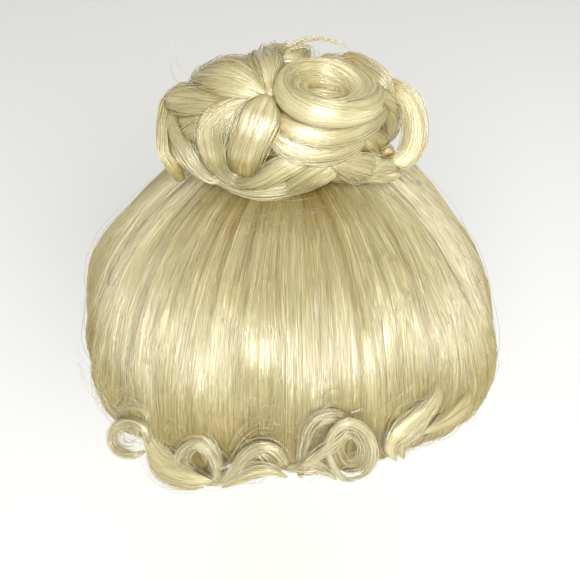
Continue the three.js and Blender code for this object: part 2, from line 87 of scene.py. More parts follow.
# Front curls: the way each faces (degrees from the front), then x, y, z, width, thickness.
FRONT_CURLS = {
    "temple_small_curl": (-44, [(-69, -81.5, -37, 6, 4), (-73, -77, -33, 7, 5), (-80.5, -72.5, -35.5, 8, 5), (-88, -70, -46, 7, 5), (-94.5, -60, -73, 6, 4)]),
    "temple_ring_curl": (-40, [(-71.5, -83.5, -50, 5, 4), (-74, -81.5, -44.5, 6, 5), (-81, -76.5, -47.5, 7, 5), (-92.5, -64, -69, 7, 5), (-97.5, -66.5, -75, 7, 5), (-96.5, -71.5, -79, 7, 5), (-91, -75.5, -79.5, 7, 5), (-84, -78, -78, 6, 5), (-77.5, -77, -74.5, 5, 4)]),
    "temple_lock": (-36, [(-72.5, -81, -40.5, 8, 5), (-70, -85.5, -48, 13, 7), (-65, -93, -53, 16, 9), (-57.5, -99, -54.5, 15, 9), (-48, -104.5, -53, 12, 8), (-38.5, -107, -51, 8, 6)]),
    "brow_curl_left": (-24, [(-37, -105, -52, 4, 4), (-36, -103.5, -41, 5, 7), (-39, -99.5, -34, 5, 8), (-45, -96, -32, 5, 9), (-51.5, -95.5, -37, 6, 9), (-56, -97, -46, 6, 8), (-54.5, -100.5, -53.5, 6, 7), (-48.5, -102.5, -56.5, 6, 6)]),
    "brow_arch_curl": (-12, [(-34, -105, -56.5, 5, 4), (-26.5, -103, -42.5, 7, 4), (-19.5, -101, -33.5, 8, 5), (-11.5, -100.5, -29, 8, 5), (-5.5, -103, -31.5, 8, 5), (-1, -106, -39, 6, 4)]),
    "brow_sweep_lock": (-8, [(-33.5, -105, -61.5, 5, 4), (-25.5, -104.5, -53.5, 8, 4), (-17, -104, -48, 10, 5), (-9, -104.5, -46.5, 10, 5), (-1, -105.5, -50.5, 7, 4)]),
    "brow_swirl_curl": (4, [(5, -102, -40.5, 5, 4), (7, -99, -28.5, 7, 4), (10, -95.5, -19, 8, 5), (16, -93, -14.5, 8, 5), (23, -92, -15, 7, 4), (27.5, -92, -21, 5, 3)]),
    "brow_ring_curl": (10, [(4, -105, -40.5, 5, 4), (12.5, -103.5, -32.5, 6, 4), (18.5, -101, -25.5, 5, 4), (21, -98.5, -17, 5, 4), (27, -96.5, -12.5, 6, 4), (33.5, -97, -16, 6, 4), (38.5, -98.5, -24, 6, 4), (40.5, -102, -33.5, 6, 4), (39, -105, -42.5, 6, 4), (34, -107.5, -47.5, 5, 3), (27, -107.5, -47, 4, 3)]),
    "right_ringlet": (30, [(73.5, -72.5, -26, 7, 4), (67.5, -80.5, -28, 10, 6), (59.5, -86.5, -29.5, 11, 7), (53, -91.5, -31.5, 11, 7), (49.5, -96, -37.5, 10, 6), (53.5, -97.5, -48.5, 6, 4)]),
    "right_hem_lock": (42, [(92.5, -64, -42.5, 8, 5), (85.5, -72.5, -42.5, 10, 7), (76.5, -79.5, -41.5, 10, 7), (67, -86, -40.5, 7, 5)]),
}
# More locks that fill the bun between the outer ones: x, y, z, width, thickness.
FILL_LOCKS = {
    "u_loop_inner": [(-13, 15.5, 86, 8, 5), (-20.5, 14, 84, 9, 6), (-26.5, 12, 79.5, 9, 6), (-29.5, 9, 74, 8, 6), (-29, 6, 67, 8, 6), (-26, 4, 60, 9, 6), (-19.5, 2.5, 56, 9, 6), (-11.5, 1, 58.5, 9, 6)],
    "left_fill": [(-58, 38.5, 62.5, 10, 8), (-55, 31, 57, 14, 9), (-50.5, 24, 52, 16, 9), (-44, 18, 47, 14, 8), (-37, 13, 43, 10, 7)],
    "left_back_fill": [(-54, 49.5, 66.5, 10, 8), (-58, 43.5, 61, 14, 9), (-59, 35, 55, 14, 9), (-57.5, 27, 50, 13, 9), (-54, 20, 45.5, 10, 8)],
    "pinch_fill": [(-18, 25, 85, 10, 8), (-12, 19, 83.5, 14, 8), (-6.5, 14.5, 81.5, 16, 8), (-2, 10, 78, 14, 8), (1, 5.5, 72, 14, 8), (-1, 2.5, 65, 14, 8), (-7.5, 3, 57, 12, 7)],
    "right_fill": [(29.5, 14, 70, 8, 7), (37, 15.5, 65, 12, 8), (44.5, 25.5, 51.5, 12, 8), (49.5, 21, 47.5, 10, 7)],
    "base_fill_right": [(19.5, 6, 52.5, 10, 8), (30, 14.5, 43.5, 13, 8), (41, 13, 43.5, 13, 8), (52.5, 14, 43, 10, 7)],
    "base_fill_left": [(-47.5, 24.5, 49.5, 10, 7), (-41.5, 16.5, 44.5, 12, 8), (-31, 10.5, 41, 12, 8), (-20, 8, 39, 12, 8)],
}
# Loose hairs on and over the bun: x, y, z.
BUN_WISPS = {
    "tuft_a": [(-10, 52.5, 83.5), (-5, 66, 80), (1, 68.5, 82.5), (8, 69.5, 84), (15, 69.5, 84.5), (22, 68.5, 83.5), (27.5, 67, 82.5), (31.5, 63.5, 80)],
    "tuft_b": [(-8, 52.5, 83.5), (-2, 66.5, 80.5), (5, 68.5, 83), (13, 69.5, 84.5), (19.5, 69.5, 84.5), (24.5, 68, 83)],
    "tuft_c": [(-12, 50.5, 84), (-7, 65, 79), (-1, 67.5, 81.5), (6, 68.5, 83), (12, 68.5, 83)],
    "arc_left": [(-45.5, 52.5, 73.5), (-50, 53, 73.5), (-54.5, 55, 76), (-57, 58, 79.5), (-57.5, 61.5, 84), (-56.5, 65.5, 88.5)],
    "arc_left2": [(-52.5, 48, 70), (-57.5, 52, 72), (-60, 56, 75), (-60.5, 60, 78)],
    "ring_hair": [(-27, 5.5, 81.5), (-25, 6.5, 84), (-21, 5.5, 85.5), (-17, 4, 85.5), (-14, 1, 83.5), (-13.5, -1, 80)],
    "base_a": [(-39, 7, 44), (-30.5, 3, 42), (-20, 0, 40.5), (-7.5, -1.5, 40), (6, -0.5, 40.5), (17.5, 3.5, 42.5), (26.5, 8.5, 45.5)],
    "base_b": [(-35, 5.5, 42.5), (-25, 1, 40.5), (-14, -2, 39.5), (0, -2, 39), (12, 0, 40.5), (21, 5, 42.5)],
    "base_c": [(5, 3, 42), (14, 4, 44), (21, 7, 46.5), (24, 3, 56.5), (23, 1, 63.5)],
    "base_d": [(16, 1, 40), (22, 3, 42), (26, 6.5, 45), (26.5, 7.5, 51), (23.5, 2, 62.5)],
    "base_e": [(-26, 1, 40), (-19, -1.5, 37.5), (-10, -2, 36.5), (1, -2, 36), (12.5, -0.5, 36)],
    "base_f": [(19, 0, 64.5), (22.5, 3, 55.5), (24, 5.5, 45), (20, 1.5, 40.5)],
    "right_loop_hair": [(48, 19.5, 53.5), (53.5, 16, 53), (59.5, 14.5, 51.5), (64, 17.5, 51.5), (66.5, 22, 54)],
    "right_top_hair": [(47.5, 49.5, 71.5), (52.5, 49, 71.5), (57.5, 46.5, 70), (61, 43.5, 67.5)],
    "net_a": [(-11.5, -0.5, 66), (-7.5, -0.5, 71), (-3, -0.5, 73.5), (1, -0.5, 73)],
    "net_b": [(-13, 0.5, 70), (-8.5, -0.5, 68.5), (-4.5, -1, 70), (0, -1, 69)],
    "net_c": [(-10.5, 1.5, 74.5), (-7.5, -0.5, 69.5), (-4, -1.5, 65.5)],
    "net_d": [(-6.5, 1, 74.5), (-9.5, 0, 70.5), (-13.5, 0, 64.5)],
}
# Loose hairs over the hem.
HEM_WISPS = {
    "hem_a": [(-29, -99, -44), (-24.5, -97, -32), (-18.5, -95, -24), (-12.5, -94.5, -21), (-6.5, -95, -22.5)],
    "hem_b": [(-30.5, -97.5, -39), (-26, -95.5, -27.5), (-20, -93.5, -21), (-13.5, -92.5, -17.5), (-5.5, -92.5, -17)],
    "hem_c": [(13.5, -92, -18.5), (15, -89.5, -12), (19, -87.5, -9.5), (24, -87, -10.5), (28.5, -88.5, -13.5)],
    "hem_d": [(15, -85.5, -9.5), (19, -84, -6), (23.5, -83.5, -6.5), (28.5, -84, -10)],
    "hem_e": [(47, -93.5, -42), (48, -90, -31), (51.5, -86, -22.5), (57.5, -81.5, -19.5), (65, -75.5, -19)],
    "hem_f": [(36.5, -78.5, -6), (43, -78.5, -7.5), (49, -79.5, -12), (53.5, -80, -17.5)],
    "hem_g": [(29, -89, -16.5), (34.5, -88, -16), (40.5, -87.5, -18), (46.5, -85, -19)],
    "hem_h": [(-66, -86.5, -47), (-62, -86, -36), (-58.5, -85, -29.5), (-54, -85, -26.5)],
    "hem_i": [(-41.5, -93.5, -34.5), (-36.5, -96, -35.5), (-31.5, -99, -41), (-27, -99.5, -45.5)],
}
# More strands of hair round the front curls, in the same columns.
MORE_CURLS = {
    "left_ring_full": (-24, [(-38, -103.5, -54.5, 3, 3), (-35, -102, -45, 3, 4), (-36, -99, -37.5, 3, 4), (-40, -95, -33.5, 4, 4), (-46, -92.5, -33.5, 4, 4), (-52, -92, -38, 4, 4), (-56, -93.5, -45, 3, 4), (-57, -96.5, -52, 3, 4), (-55, -99.5, -58, 4, 4), (-48.5, -102, -59.5, 4, 4), (-42, -103.5, -57.5, 4, 3)]),
    "right_ring_full": (10, [(33.5, -107, -51, 3, 3), (27, -108, -48, 4, 3), (22, -106.5, -41, 4, 3), (19, -104, -32.5, 3, 3), (18, -101.5, -24, 3, 3), (21, -98.5, -17, 3, 3), (26, -96, -13.5, 3, 3), (32, -95.5, -15, 4, 3), (37, -97.5, -21, 4, 3), (40.5, -100, -30, 4, 3), (41, -103, -39, 4, 3), (38, -106.5, -46.5, 4, 3)]),
    "ring_crossing": (10, [(5, -107.5, -37, 4, 2), (11.5, -105.5, -31.5, 5, 2), (18, -103, -26, 5, 2), (23.5, -100.5, -21, 5, 2), (27.5, -98.5, -16.5, 3, 2)]),
    "ringlet_twin": (30, [(69.5, -80, -34.5, 6, 4), (64, -84.5, -36.5, 9, 5), (59, -88.5, -39, 9, 5), (56, -93, -43.5, 8, 4), (57.5, -95, -51.5, 5, 3)]),
    "hem_fill_left": (-22, [(-53.5, -92, -60, 7, 4), (-47, -97, -61.5, 9, 5), (-40, -100.5, -60.5, 9, 5), (-31.5, -101, -55, 8, 4), (-23, -100, -48.5, 6, 3)]),
    "hem_fill_mid": (2, [(-1, -100.5, -52, 6, 3), (5, -100.5, -48, 8, 3), (12, -101, -47.5, 8, 3), (19, -102, -52, 6, 3), (24, -103.5, -57.5, 4, 2)]),
    "temple_ring_full": (-40, [(-72.5, -88.5, -49, 3, 3), (-71.5, -86.5, -43, 3, 3), (-74, -83, -39.5, 3, 3), (-79, -80, -39.5, 3, 3), (-86, -77.5, -45, 4, 3), (-92, -77.5, -52.5, 4, 3), (-94, -79.5, -60, 4, 3), (-90.5, -84, -62.5, 4, 3), (-84, -87.5, -60.5, 4, 3), (-77, -89, -55.5, 3, 3)]),
    "temple_lower": (-36, [(-72.5, -84, -57.5, 6, 4), (-69.5, -91, -61.5, 9, 5), (-63, -97.5, -63.5, 9, 6), (-53, -103.5, -62.5, 8, 5), (-43.5, -106.5, -59, 6, 4)]),
}
BACK_PUFFS = {
    "back_puff_left": [(-22, 53, 77, 18, 11), (-35, 63, 68, 25, 14), (-38, 69, 55, 25, 14), (-29, 67, 43, 18, 11)],
    "back_puff_mid": [(-2, 62, 80, 20, 11), (-3, 73, 71, 27, 14), (-3, 78, 56, 28, 14), (-3, 73, 42, 22, 12)],
    "back_puff_right": [(20, 55, 77, 18, 11), (32, 64, 68, 25, 14), (34, 68, 55, 25, 14), (26, 66, 43, 18, 11)],
    "side_puff_right": [(41, 35, 74, 12, 10), (48, 39, 65, 16, 12), (49, 40, 54, 16, 12), (43, 38, 43, 12, 10)],
}

# ---------------------------------------------------------------- helpers
def unit(v):
    return v / (np.linalg.norm(v, axis=-1, keepdims=True) + 1e-12)


def smooth(x):
    x = np.clip(x, 0, 1)
    return x * x * (3 - 2 * x)


def catmull(table, t):
    """Rows of a table read at the real positions t, by Catmull-Rom."""
    table = np.asarray(table, float)
    n = len(table)
    t = np.clip(t, 0, n - 1 - 1e-9)
    i = np.floor(t).astype(int)
    f = (t - i)[..., None]
    a, b = table[np.clip(i - 1, 0, n - 1)], table[np.clip(i, 0, n - 1)]
    c, d = table[np.clip(i + 1, 0, n - 1)], table[np.clip(i + 2, 0, n - 1)]
    a = np.where((i == 0)[..., None], 2 * b - c, a)
    d = np.where((i >= n - 2)[..., None], 2 * c - b, d)
    return 0.5 * (2 * b + (c - a) * f + (2 * a - 5 * b + 4 * c - d) * f**2 + (3 * b - a - 3 * c + d) * f**3)


class Noise1:
    """A smooth random line, periodic over `period`, with values near -1 to 1."""

    def __init__(self, count, period=1.0, seed=0):
        self.v = np.random.default_rng(seed).uniform(-1, 1, count)
        self.n, self.period = count, period

    def __call__(self, x):
        u = (np.asarray(x, float) / self.period) % 1.0 * self.n
        i = np.floor(u).astype(int)
        f = u - i
        f = f * f * (3 - 2 * f)
        return self.v[i % self.n] * (1 - f) + self.v[(i + 1) % self.n] * f


class Noise2:
    """Smooth random field, periodic in both directions, cells nu by nv."""

    def __init__(self, nu, nv, seed=0):
        self.v = np.random.default_rng(seed).uniform(-1, 1, (nu, nv))
        self.nu, self.nv = nu, nv

    def __call__(self, u, v):
        u, v = np.broadcast_arrays(np.asarray(u, float), np.asarray(v, float))
        u, v = (u % 1.0) * self.nu, (v % 1.0) * self.nv
        i, j = np.floor(u).astype(int), np.floor(v).astype(int)
        a, b = u - i, v - j
        a, b = a * a * (3 - 2 * a), b * b * (3 - 2 * b)
        i0, i1, j0, j1 = i % self.nu, (i + 1) % self.nu, j % self.nv, (j + 1) % self.nv
        return (self.v[i0, j0] * (1 - a) + self.v[i1, j0] * a) * (1 - b) + (self.v[i0, j1] * (1 - a) + self.v[i1, j1] * a) * b


def mesh_from(name, verts, quads, tris, uv=None, attributes=None, smooth_faces=True):
    """A mesh object from arrays: verts in mm, quads (n,4), tris (n,3), uv per vertex."""
    verts = np.asarray(verts, np.float32) * MM
    quads = np.asarray(quads, np.int32).reshape(-1, 4)
    tris = np.asarray(tris, np.int32).reshape(-1, 3)
    me = bpy.data.meshes.new(name)
    loops = np.concatenate([quads.ravel(), tris.ravel()])
    counts = np.concatenate([np.full(len(quads), 4), np.full(len(tris), 3)])
    starts = np.concatenate([[0], np.cumsum(counts)[:-1]])
    me.vertices.add(len(verts)); me.vertices.foreach_set("co", verts.ravel())
    me.loops.add(len(loops)); me.loops.foreach_set("vertex_index", loops.astype(np.int32))
    me.polygons.add(len(counts))
    me.polygons.foreach_set("loop_start", starts.astype(np.int32))
    me.polygons.foreach_set("loop_total", counts.astype(np.int32))
    me.update(calc_edges=True)
    me.polygons.foreach_set("use_smooth", np.full(len(counts), smooth_faces))
    if uv is not None:
        layer = me.uv_layers.new(name="OFBake")
        layer.data.foreach_set("uv", np.asarray(uv, np.float32)[loops].ravel())
    for key, values in (attributes or {}).items():
        a = me.attributes.new(key, "FLOAT", "POINT")
        a.data.foreach_set("value", np.asarray(values, np.float32))
    me.validate()
    ob = bpy.data.objects.new(name, me)
    bpy.context.scene.collection.objects.link(ob)
    return ob


def tubes(paths, normals, radii, tone, along, sides=3):
    """Closed thin tubes. paths, normals (S,m,3); radii, along (S,m); tone (S,)."""
    S, m, _ = paths.shape
    T = unit(np.gradient(paths, axis=1))
    B = unit(np.cross(T, normals))
    N = np.cross(B, T)
    phase = rng.uniform(0, 2 * np.pi, (S, 1, 1))
    a = phase + 2 * np.pi * np.arange(sides)[None, None, :] / sides
    V = paths[:, :, None, :] + radii[:, :, None, None] * (np.cos(a)[..., None] * B[:, :, None, :] + np.sin(a)[..., None] * N[:, :, None, :])
    V = V.reshape(-1, 3)
    base = (np.arange(S) * m * sides)[:, None, None]
    i = np.arange(m - 1)[None, :, None] * sides
    k = np.arange(sides)[None, None, :]
    k2 = (k + 1) % sides
    q = np.stack([base + i + k, base + i + k2, base + i + sides + k2, base + i + sides + k], -1).reshape(-1, 4)
    if sides == 3:
        s0 = np.arange(S) * m * 3
        e0 = s0 + (m - 1) * 3
        t = np.concatenate([np.stack([s0 + 2, s0 + 1, s0], -1), np.stack([e0, e0 + 1, e0 + 2], -1)])
    else:
        t = np.zeros((0, 3), int)
        s0 = np.arange(S) * m * sides
        e0 = s0 + (m - 1) * sides
        q = np.concatenate([q, np.stack([s0 + 3, s0 + 2, s0 + 1, s0], -1), np.stack([e0, e0 + 1, e0 + 2, e0 + 3], -1)])
    u = (np.arange(S)[:, None, None] + 0.2 + 0.6 * np.arange(sides)[None, None, :] / (sides - 1)) / S
    u = np.broadcast_to(u, (S, m, sides))
    v = np.broadcast_to(np.linspace(0.01, 0.99, m)[None, :, None], (S, m, sides))
    uv = np.stack([u, v], -1).reshape(-1, 2)
    tn = np.broadcast_to(tone[:, None, None], (S, m, sides)).ravel()
    al = np.broadcast_to(along[:, :, None], (S, m, sides)).ravel()
    return V, q, t, uv, tn, al


def taper(m, tip=0.12, power=1.0):
    """Strand thickness along its length, fine at both ends."""
    x = np.linspace(0, 1, m)
    e = np.clip(np.minimum(x, 1 - x) / tip, 0, 1)
    return 0.15 + 0.85 * np.sqrt(e)


# ---------------------------------------------------------------- materials
def srgb(r, g, b):
    f = lambda c: c / 12.92 if c <= 0.04045 else ((c + 0.055) / 1.055) ** 2.4
    return (f(r / 255), f(g / 255), f(b / 255), 1.0)


def hair_material(name, light, mid, deep, root, roughness=0.36, streaks=None, bump=0.0, anisotropy=0.0):
    """Strand colour from `tone` (one value a strand), darkened toward the deep gold of painted shade where `shade` = 1,
    then toward the painted shadow colour by the painted-shadow attribute.
    streaks = (cells across, cells along) adds fine combed lines over the UV map."""
    mat = bpy.data.materials.new(name)
    mat.use_nodes = True
    nt = mat.node_tree
    nodes, links = nt.nodes, nt.links
    bsdf = nodes["Principled BSDF"]
    tone = nodes.new("ShaderNodeAttribute"); tone.attribute_name = "tone"
    shade = nodes.new("ShaderNodeAttribute"); shade.attribute_name = "shade"
    value = tone.outputs["Fac"]
    if streaks:
        uv = nodes.new("ShaderNodeUVMap"); uv.uv_map = "OFBake"
        mapping = nodes.new("ShaderNodeMapping")
        mapping.inputs["Scale"].default_value = (streaks[0], streaks[1], 1)
        links.new(uv.outputs["UV"], mapping.inputs["Vector"])
        noise = nodes.new("ShaderNodeTexNoise"); noise.noise_dimensions = "2D"
        noise.inputs["Scale"].default_value = 1.0
        noise.inputs["Detail"].default_value = 2.0
        noise.inputs["Roughness"].default_value = 0.55
        links.new(mapping.outputs["Vector"], noise.inputs["Vector"])
        spread = nodes.new("ShaderNodeMapRange")
        spread.inputs["From Min"].default_value = 0.3
        spread.inputs["From Max"].default_value = 0.7
        spread.inputs["To Min"].default_value = -0.22
        spread.inputs["To Max"].default_value = 0.22
        links.new(noise.outputs["Fac"], spread.inputs["Value"])
        add = nodes.new("ShaderNodeMath"); add.operation = "ADD"
        links.new(value, add.inputs[0]); links.new(spread.outputs["Result"], add.inputs[1])
        value = add.outputs[0]
        if bump:
            bn = nodes.new("ShaderNodeBump")
            bn.inputs["Strength"].default_value = bump
            bn.inputs["Distance"].default_value = 0.00016
            links.new(noise.outputs["Fac"], bn.inputs["Height"])
            links.new(bn.outputs["Normal"], bsdf.inputs["Normal"])
    ramp = nodes.new("ShaderNodeValToRGB")
    el = ramp.color_ramp.elements
    el[0].position, el[0].color = 0.0, deep
    el[1].position, el[1].color = 1.0, light
    m = el.new(0.42); m.color = mid
    links.new(value, ramp.inputs["Fac"])
    mix = nodes.new("ShaderNodeMix"); mix.data_type = "RGBA"; mix.blend_type = "MIX"
    links.new(shade.outputs["Fac"], mix.inputs["Factor"])
    links.new(ramp.outputs["Color"], mix.inputs["A"])
    # the deep gold of painted shade, mixed in by `shade`
    mix.inputs["B"].default_value = root
    # painted shadow: mixes toward a dark gold in creases and where locks meet
    painted_shadow = nodes.new("ShaderNodeAttribute"); painted_shadow.attribute_name = "painted_shadow"
    shadow_mix = nodes.new("ShaderNodeMix"); shadow_mix.data_type = "RGBA"; shadow_mix.blend_type = "MIX"
    links.new(painted_shadow.outputs["Fac"], shadow_mix.inputs["Factor"])
    links.new(mix.outputs["Result"], shadow_mix.inputs["A"])
    shadow_mix.inputs["B"].default_value = PAINTED_SHADOW_COLOUR
    links.new(shadow_mix.outputs["Result"], bsdf.inputs["Base Color"])
    bsdf.inputs["Roughness"].default_value = roughness
    bsdf.inputs["IOR"].default_value = 2.0
    bsdf.inputs["Specular IOR Level"].default_value = 1.0
    bsdf.inputs["Anisotropic"].default_value = anisotropy
    if anisotropy:
        across = nodes.new("ShaderNodeTangent"); across.direction_type = "UV_MAP"; across.uv_map = "OFBake"
        links.new(across.outputs["Tangent"], bsdf.inputs["Tangent"])
    bsdf.inputs["Metallic"].default_value = 0.12
    return mat


# Colour of the painted shadow in creases and where locks meet.
PAINTED_SHADOW_COLOUR = srgb(154, 125, 38)
# Tone ramp colours, then the deep gold that stands for painted shade.
LIGHT, MIDDLE = srgb(222, 212, 164), srgb(192, 179, 124)
DEEP, SHADE_GOLD = srgb(144, 127, 66), srgb(180, 161, 88)
HAIR_BASE = hair_material("hair_roll_base", srgb(208, 196, 146), srgb(184, 170, 113), srgb(138, 120, 60), SHADE_GOLD, 0.45, (900, 1.6), 0.6, 0.7)
HAIR_STRAND = hair_material("hair_strands", LIGHT, MIDDLE, DEEP, SHADE_GOLD, 0.33)
LOCK_BASE = hair_material("hair_lock_base", srgb(214, 204, 156), srgb(192, 179, 124), srgb(138, 120, 62), SHADE_GOLD, 0.36, (80, 0.8), 1.0, 0.7)
LOCK_STRAND = hair_material("hair_lock_strands", srgb(228, 219, 176), srgb(200, 188, 134), srgb(144, 126, 66), SHADE_GOLD, 0.27)
CURL_STRAND = hair_material("hair_curl_strands", srgb(236, 228, 188), srgb(212, 200, 148), srgb(164, 145, 82), SHADE_GOLD, 0.3)
# The inner mass is coloured darker than the locks, as painted shade where it shows between them.
CORE_MAT = hair_material("hair_inner", srgb(196, 180, 128), srgb(176, 158, 102), srgb(132, 113, 60), SHADE_GOLD, 0.5, (90, 2), 0.9)

# ---------------------------------------------------------------- the roll
LAST = len(ROLL_LEVELS) - 1
SQUARE = 2.2
# Where the combed hair gathers toward the roots of the front curls: angle from
# the front (radians, + to the right), how wide it pulls, how strongly.
GATHERS = [(-0.80, 0.16, 0.75), (-0.345, 0.17, 0.85), (0.035, 0.17, 0.9), (0.40, 0.12, 0.7), (0.62, 0.13, 0.6)]


SWEEP_T = np.array([0, 1, 2.1, 3.2, 4.2, 5.4, 6.5, 8, 11])
SWEEP = np.array([0, 0.03, 0.17, 0.285, 0.37, 0.45, 0.49, 0.52, 0.53])


def swept(phi, t):
    """Angle at level t of the hair that leaves the bun at phi: it is combed
    toward the middle of the front as it comes down."""
    p = (phi + np.pi) % (2 * np.pi) - np.pi
    k = np.interp(t, SWEEP_T, SWEEP)
    k = 0.5 * k + 0.25 * (np.interp(t - 0.4, SWEEP_T, SWEEP) + np.interp(t + 0.4, SWEEP_T, SWEEP))
    a = np.abs(p)
    w = np.where(a < 1.5, 1.0, 0.5 + 0.5 * np.cos(np.pi * np.clip((a - 1.5) / (np.pi - 1.5), 0, 1)))
    return phi - k * p * w


def gathered(phi, t):
    """Swept angle after the pull toward the curls' roots, above the hem."""
    out = swept(phi, t)
    amount = smooth((t - 6.0) / 4.0)
    p = (out + np.pi) % (2 * np.pi) - np.pi
    for centre, width, pull in GATHERS:
        x = (p - centre) / width
        out = out - amount * pull * width * x * np.exp(-x * x)
    return out


def roll_point(t, phi):
    row = catmull(ROLL_LEVELS, t)
    yc, side, front, back, zf, zs, zb = [row[..., k] for k in range(7)]
    c, s = np.cos(phi), np.sin(phi)
    q = (np.abs(c) ** SQUARE + np.abs(s) ** SQUARE) ** (-1 / SQUARE)
    s2 = s * s
    z = np.where(c > 0, zf + (zs - zf) * s2 * s2, zb + (zs - zb) * s2)
    return np.stack([side * s * q, yc - np.where(c > 0, front, back) * c * q, z], -1)


def roll_frame(t, phi):
    """Point and outward normal of the roll's smooth surface."""
    e = 0.02
    p = roll_point(t, phi)
    tl, th = np.clip(t - e, 0, LAST), np.clip(t + e, 0, LAST)
    dt = roll_point(th, phi) - roll_point(tl, phi)
    dp = roll_point(t, phi + e) - roll_point(t, phi - e)
    return p, unit(np.cross(dt, dp))


# Long soft channels between the combed locks, each with its place and reach.
CREASES = []
crng = np.random.default_rng(5)
for i in range(70):
    t0 = crng.uniform(0.2, 7.0)
    CREASES.append((crng.uniform(-np.pi, np.pi), crng.uniform(0.010, 0.030), crng.uniform(0.25, 0.8), t0, t0 + crng.uniform(1.5, 4.5)))
# the creases that show most: right of the middle, and beside the side lobes
CREASES += [(0.565, 0.008, 2.2, 1.7, 3.6), (0.60, 0.007, 1.9, 2.2, 4.0), (-1.06, 0.02, 2.2, 0.9, 3.2), (1.85, 0.05, 3.2, 1.0, 5.0), (1.28, 0.03, 1.6, 1.0, 5.0),
            (-1.5, 0.03, 1.2, 1.2, 6.0), (-2.0, 0.05, 1.6, 1.5, 9.0), (0.9, 0.02, 1.0, 0.8, 3.0), (-0.45, 0.014, 0.7, 0.8, 3.4), (0.15, 0.012, 0.6, 0.6, 3.0),
            (2.5, 0.04, 1.6, 1.5, 9.0), (-2.6, 0.04, 1.6, 1.0, 8.0)]
big = Noise1(17, 2 * np.pi, 21)
mid = Noise1(63, 2 * np.pi, 22)
fine = Noise1(260, 2 * np.pi, 23)
field = Noise2(90, 5, 24)
micro = Noise2(800, 14, 25)
lobes = Noise2(22, 7, 26)
clump = Noise2(150, 6, 27)
clump2 = Noise2(430, 8, 28)
locks_a = Noise2(52, 8, 29)
sway = Noise2(38, 6, 38)
locks_b = Noise2(136, 13, 30)
streak_a = Noise2(170, 4, 33)
streak_b = Noise2(64, 3, 34)


def combed(phi, t):
    """Angle after the small wander that the hairs of one clump share."""
    u, v = phi / (2 * np.pi), t / 12.0
    return phi + smooth(t / 2.0) * (0.042 * sway(u, v) + 0.012 * clump(u, v) + 0.003 * clump2(u, v))




def relief(t, phi):
    """Height of the combed locks over the smooth form, in mm, and a 0-1 painted shade for the creases."""
    swell = smooth(t / 3.0)
    u, v = phi / (2 * np.pi), t / 12.0
    h = swell * (0.9 * big(phi) + 0.4 * mid(phi) + 0.3 * field(u, v) + 3.1 * lobes(u, v + 0.05 * big(phi)) + 1.9 * locks_a(u, v + 0.05 * mid(phi)) + 0.5 * locks_b(u, v)) + 0.12 * fine(phi) * smooth((t + 1) / 3)
    dark = np.zeros_like(h)
    p = (phi + np.pi) % (2 * np.pi) - np.pi
    for centre, width, depth, t0, t1 in CREASES:
        window = smooth((t - t0) / 1.2) * smooth((t1 - t) / 1.5)
        lean = 0.01 * np.sin(t * 0.9 + centre * 7)
        d = (p - centre - lean + np.pi) % (2 * np.pi) - np.pi
        g = np.exp(-((d / width) ** 2)) * window
        h = h - depth * g
        # painted shade in the crease, by its depth
        dark = np.maximum(dark, g * min(1, depth / 2.0))
    return h, dark


def streaks(t, phi):
    """Lighter and darker combed streaks, 0-1 dark, strongest near the bun."""
    u, v = phi / (2 * np.pi), t / 12.0
    near = 0.3 + 0.7 * np.maximum(smooth((4.0 - t) / 2.4), 0.7 * smooth((t - 5.0) / 1.5))
    a = smooth((streak_a(u, v) - 0.25) / 0.6)
    b = smooth((streak_b(u, v + 0.2) - 0.2) / 0.8)
    return np.clip(near * (0.75 * a + 0.45 * b), 0, 1)


# Painted shade: golden patches near the foot of the bun: angle, width, strength, reach.
BUN_SHADE_PATCHES = [(-0.78, 0.14, 0.5, 3.0), (-0.50, 0.05, 0.35, 2.4), (0.30, 0.09, 0.5, 2.2), (0.50, 0.07, 0.55, 2.9), (-1.25, 0.1, 0.35, 3.2), (0.95, 0.06, 0.3, 2.6), (-0.1, 0.05, 0.3, 2.0)]


# Painted shadow on the roll: darker streaks near the bun, the golden patches under it and the low front.
def foot_painted_shadow(t, phi):
    p = (phi + np.pi) % (2 * np.pi) - np.pi
    bun_shade_patch = sum(k * np.exp(-((p - c) / w) ** 2) * smooth((reach - t) / 1.5) for c, w, k, reach in BUN_SHADE_PATCHES)
    # painted shade over the low front, strongest in the middle
    low = 0.24 * smooth((t - 4.5) / 1.6) * (0.5 + 0.5 * np.cos(phi))
    return 0.7 * streaks(t, phi) * smooth((3.6 - t) / 2.2) + bun_shade_patch * (0.65 + 0.5 * fine(phi)) + low


def roll_painted_shade(t, phi):
    """How far the hair is tinted toward the deep gold of painted shade: under the bun and over the low front, with a
    little random tone.
    """
    front = 0.5 + 0.5 * np.cos(phi)
    low = (0.55 * smooth((t - 4.3) / 1.6) + 0.4 * smooth((t - 5.4) / 2.0)) * (0.35 + 0.65 * front)
    return np.clip(0.75 * smooth((1.85 + 0.7 * fine(phi) - t) / 1.6) + low + 0.10 * mid(phi), 0, 1)


COLS = 700
ts = np.linspace(0.0, LAST, 58)
ph = np.linspace(0, 2 * np.pi, COLS, endpoint=False)
TT, PP = np.meshgrid(ts, ph, indexing="ij")
PG = gathered(combed(PP, TT), TT)
P, N = roll_frame(TT, PG)
H, ROLL_CREASE_SHADE = relief(TT, PP)
H = H + 0.10 * micro(PP / (2 * np.pi), TT / 12.0)
outer = P + N * (H - 0.6)[..., None]
# the hidden inside wall, down from the crown to the hem, follows the head
HEAD = dict(side=75, front=87, back=93, widest=88, hem=(-55, -98, -119))


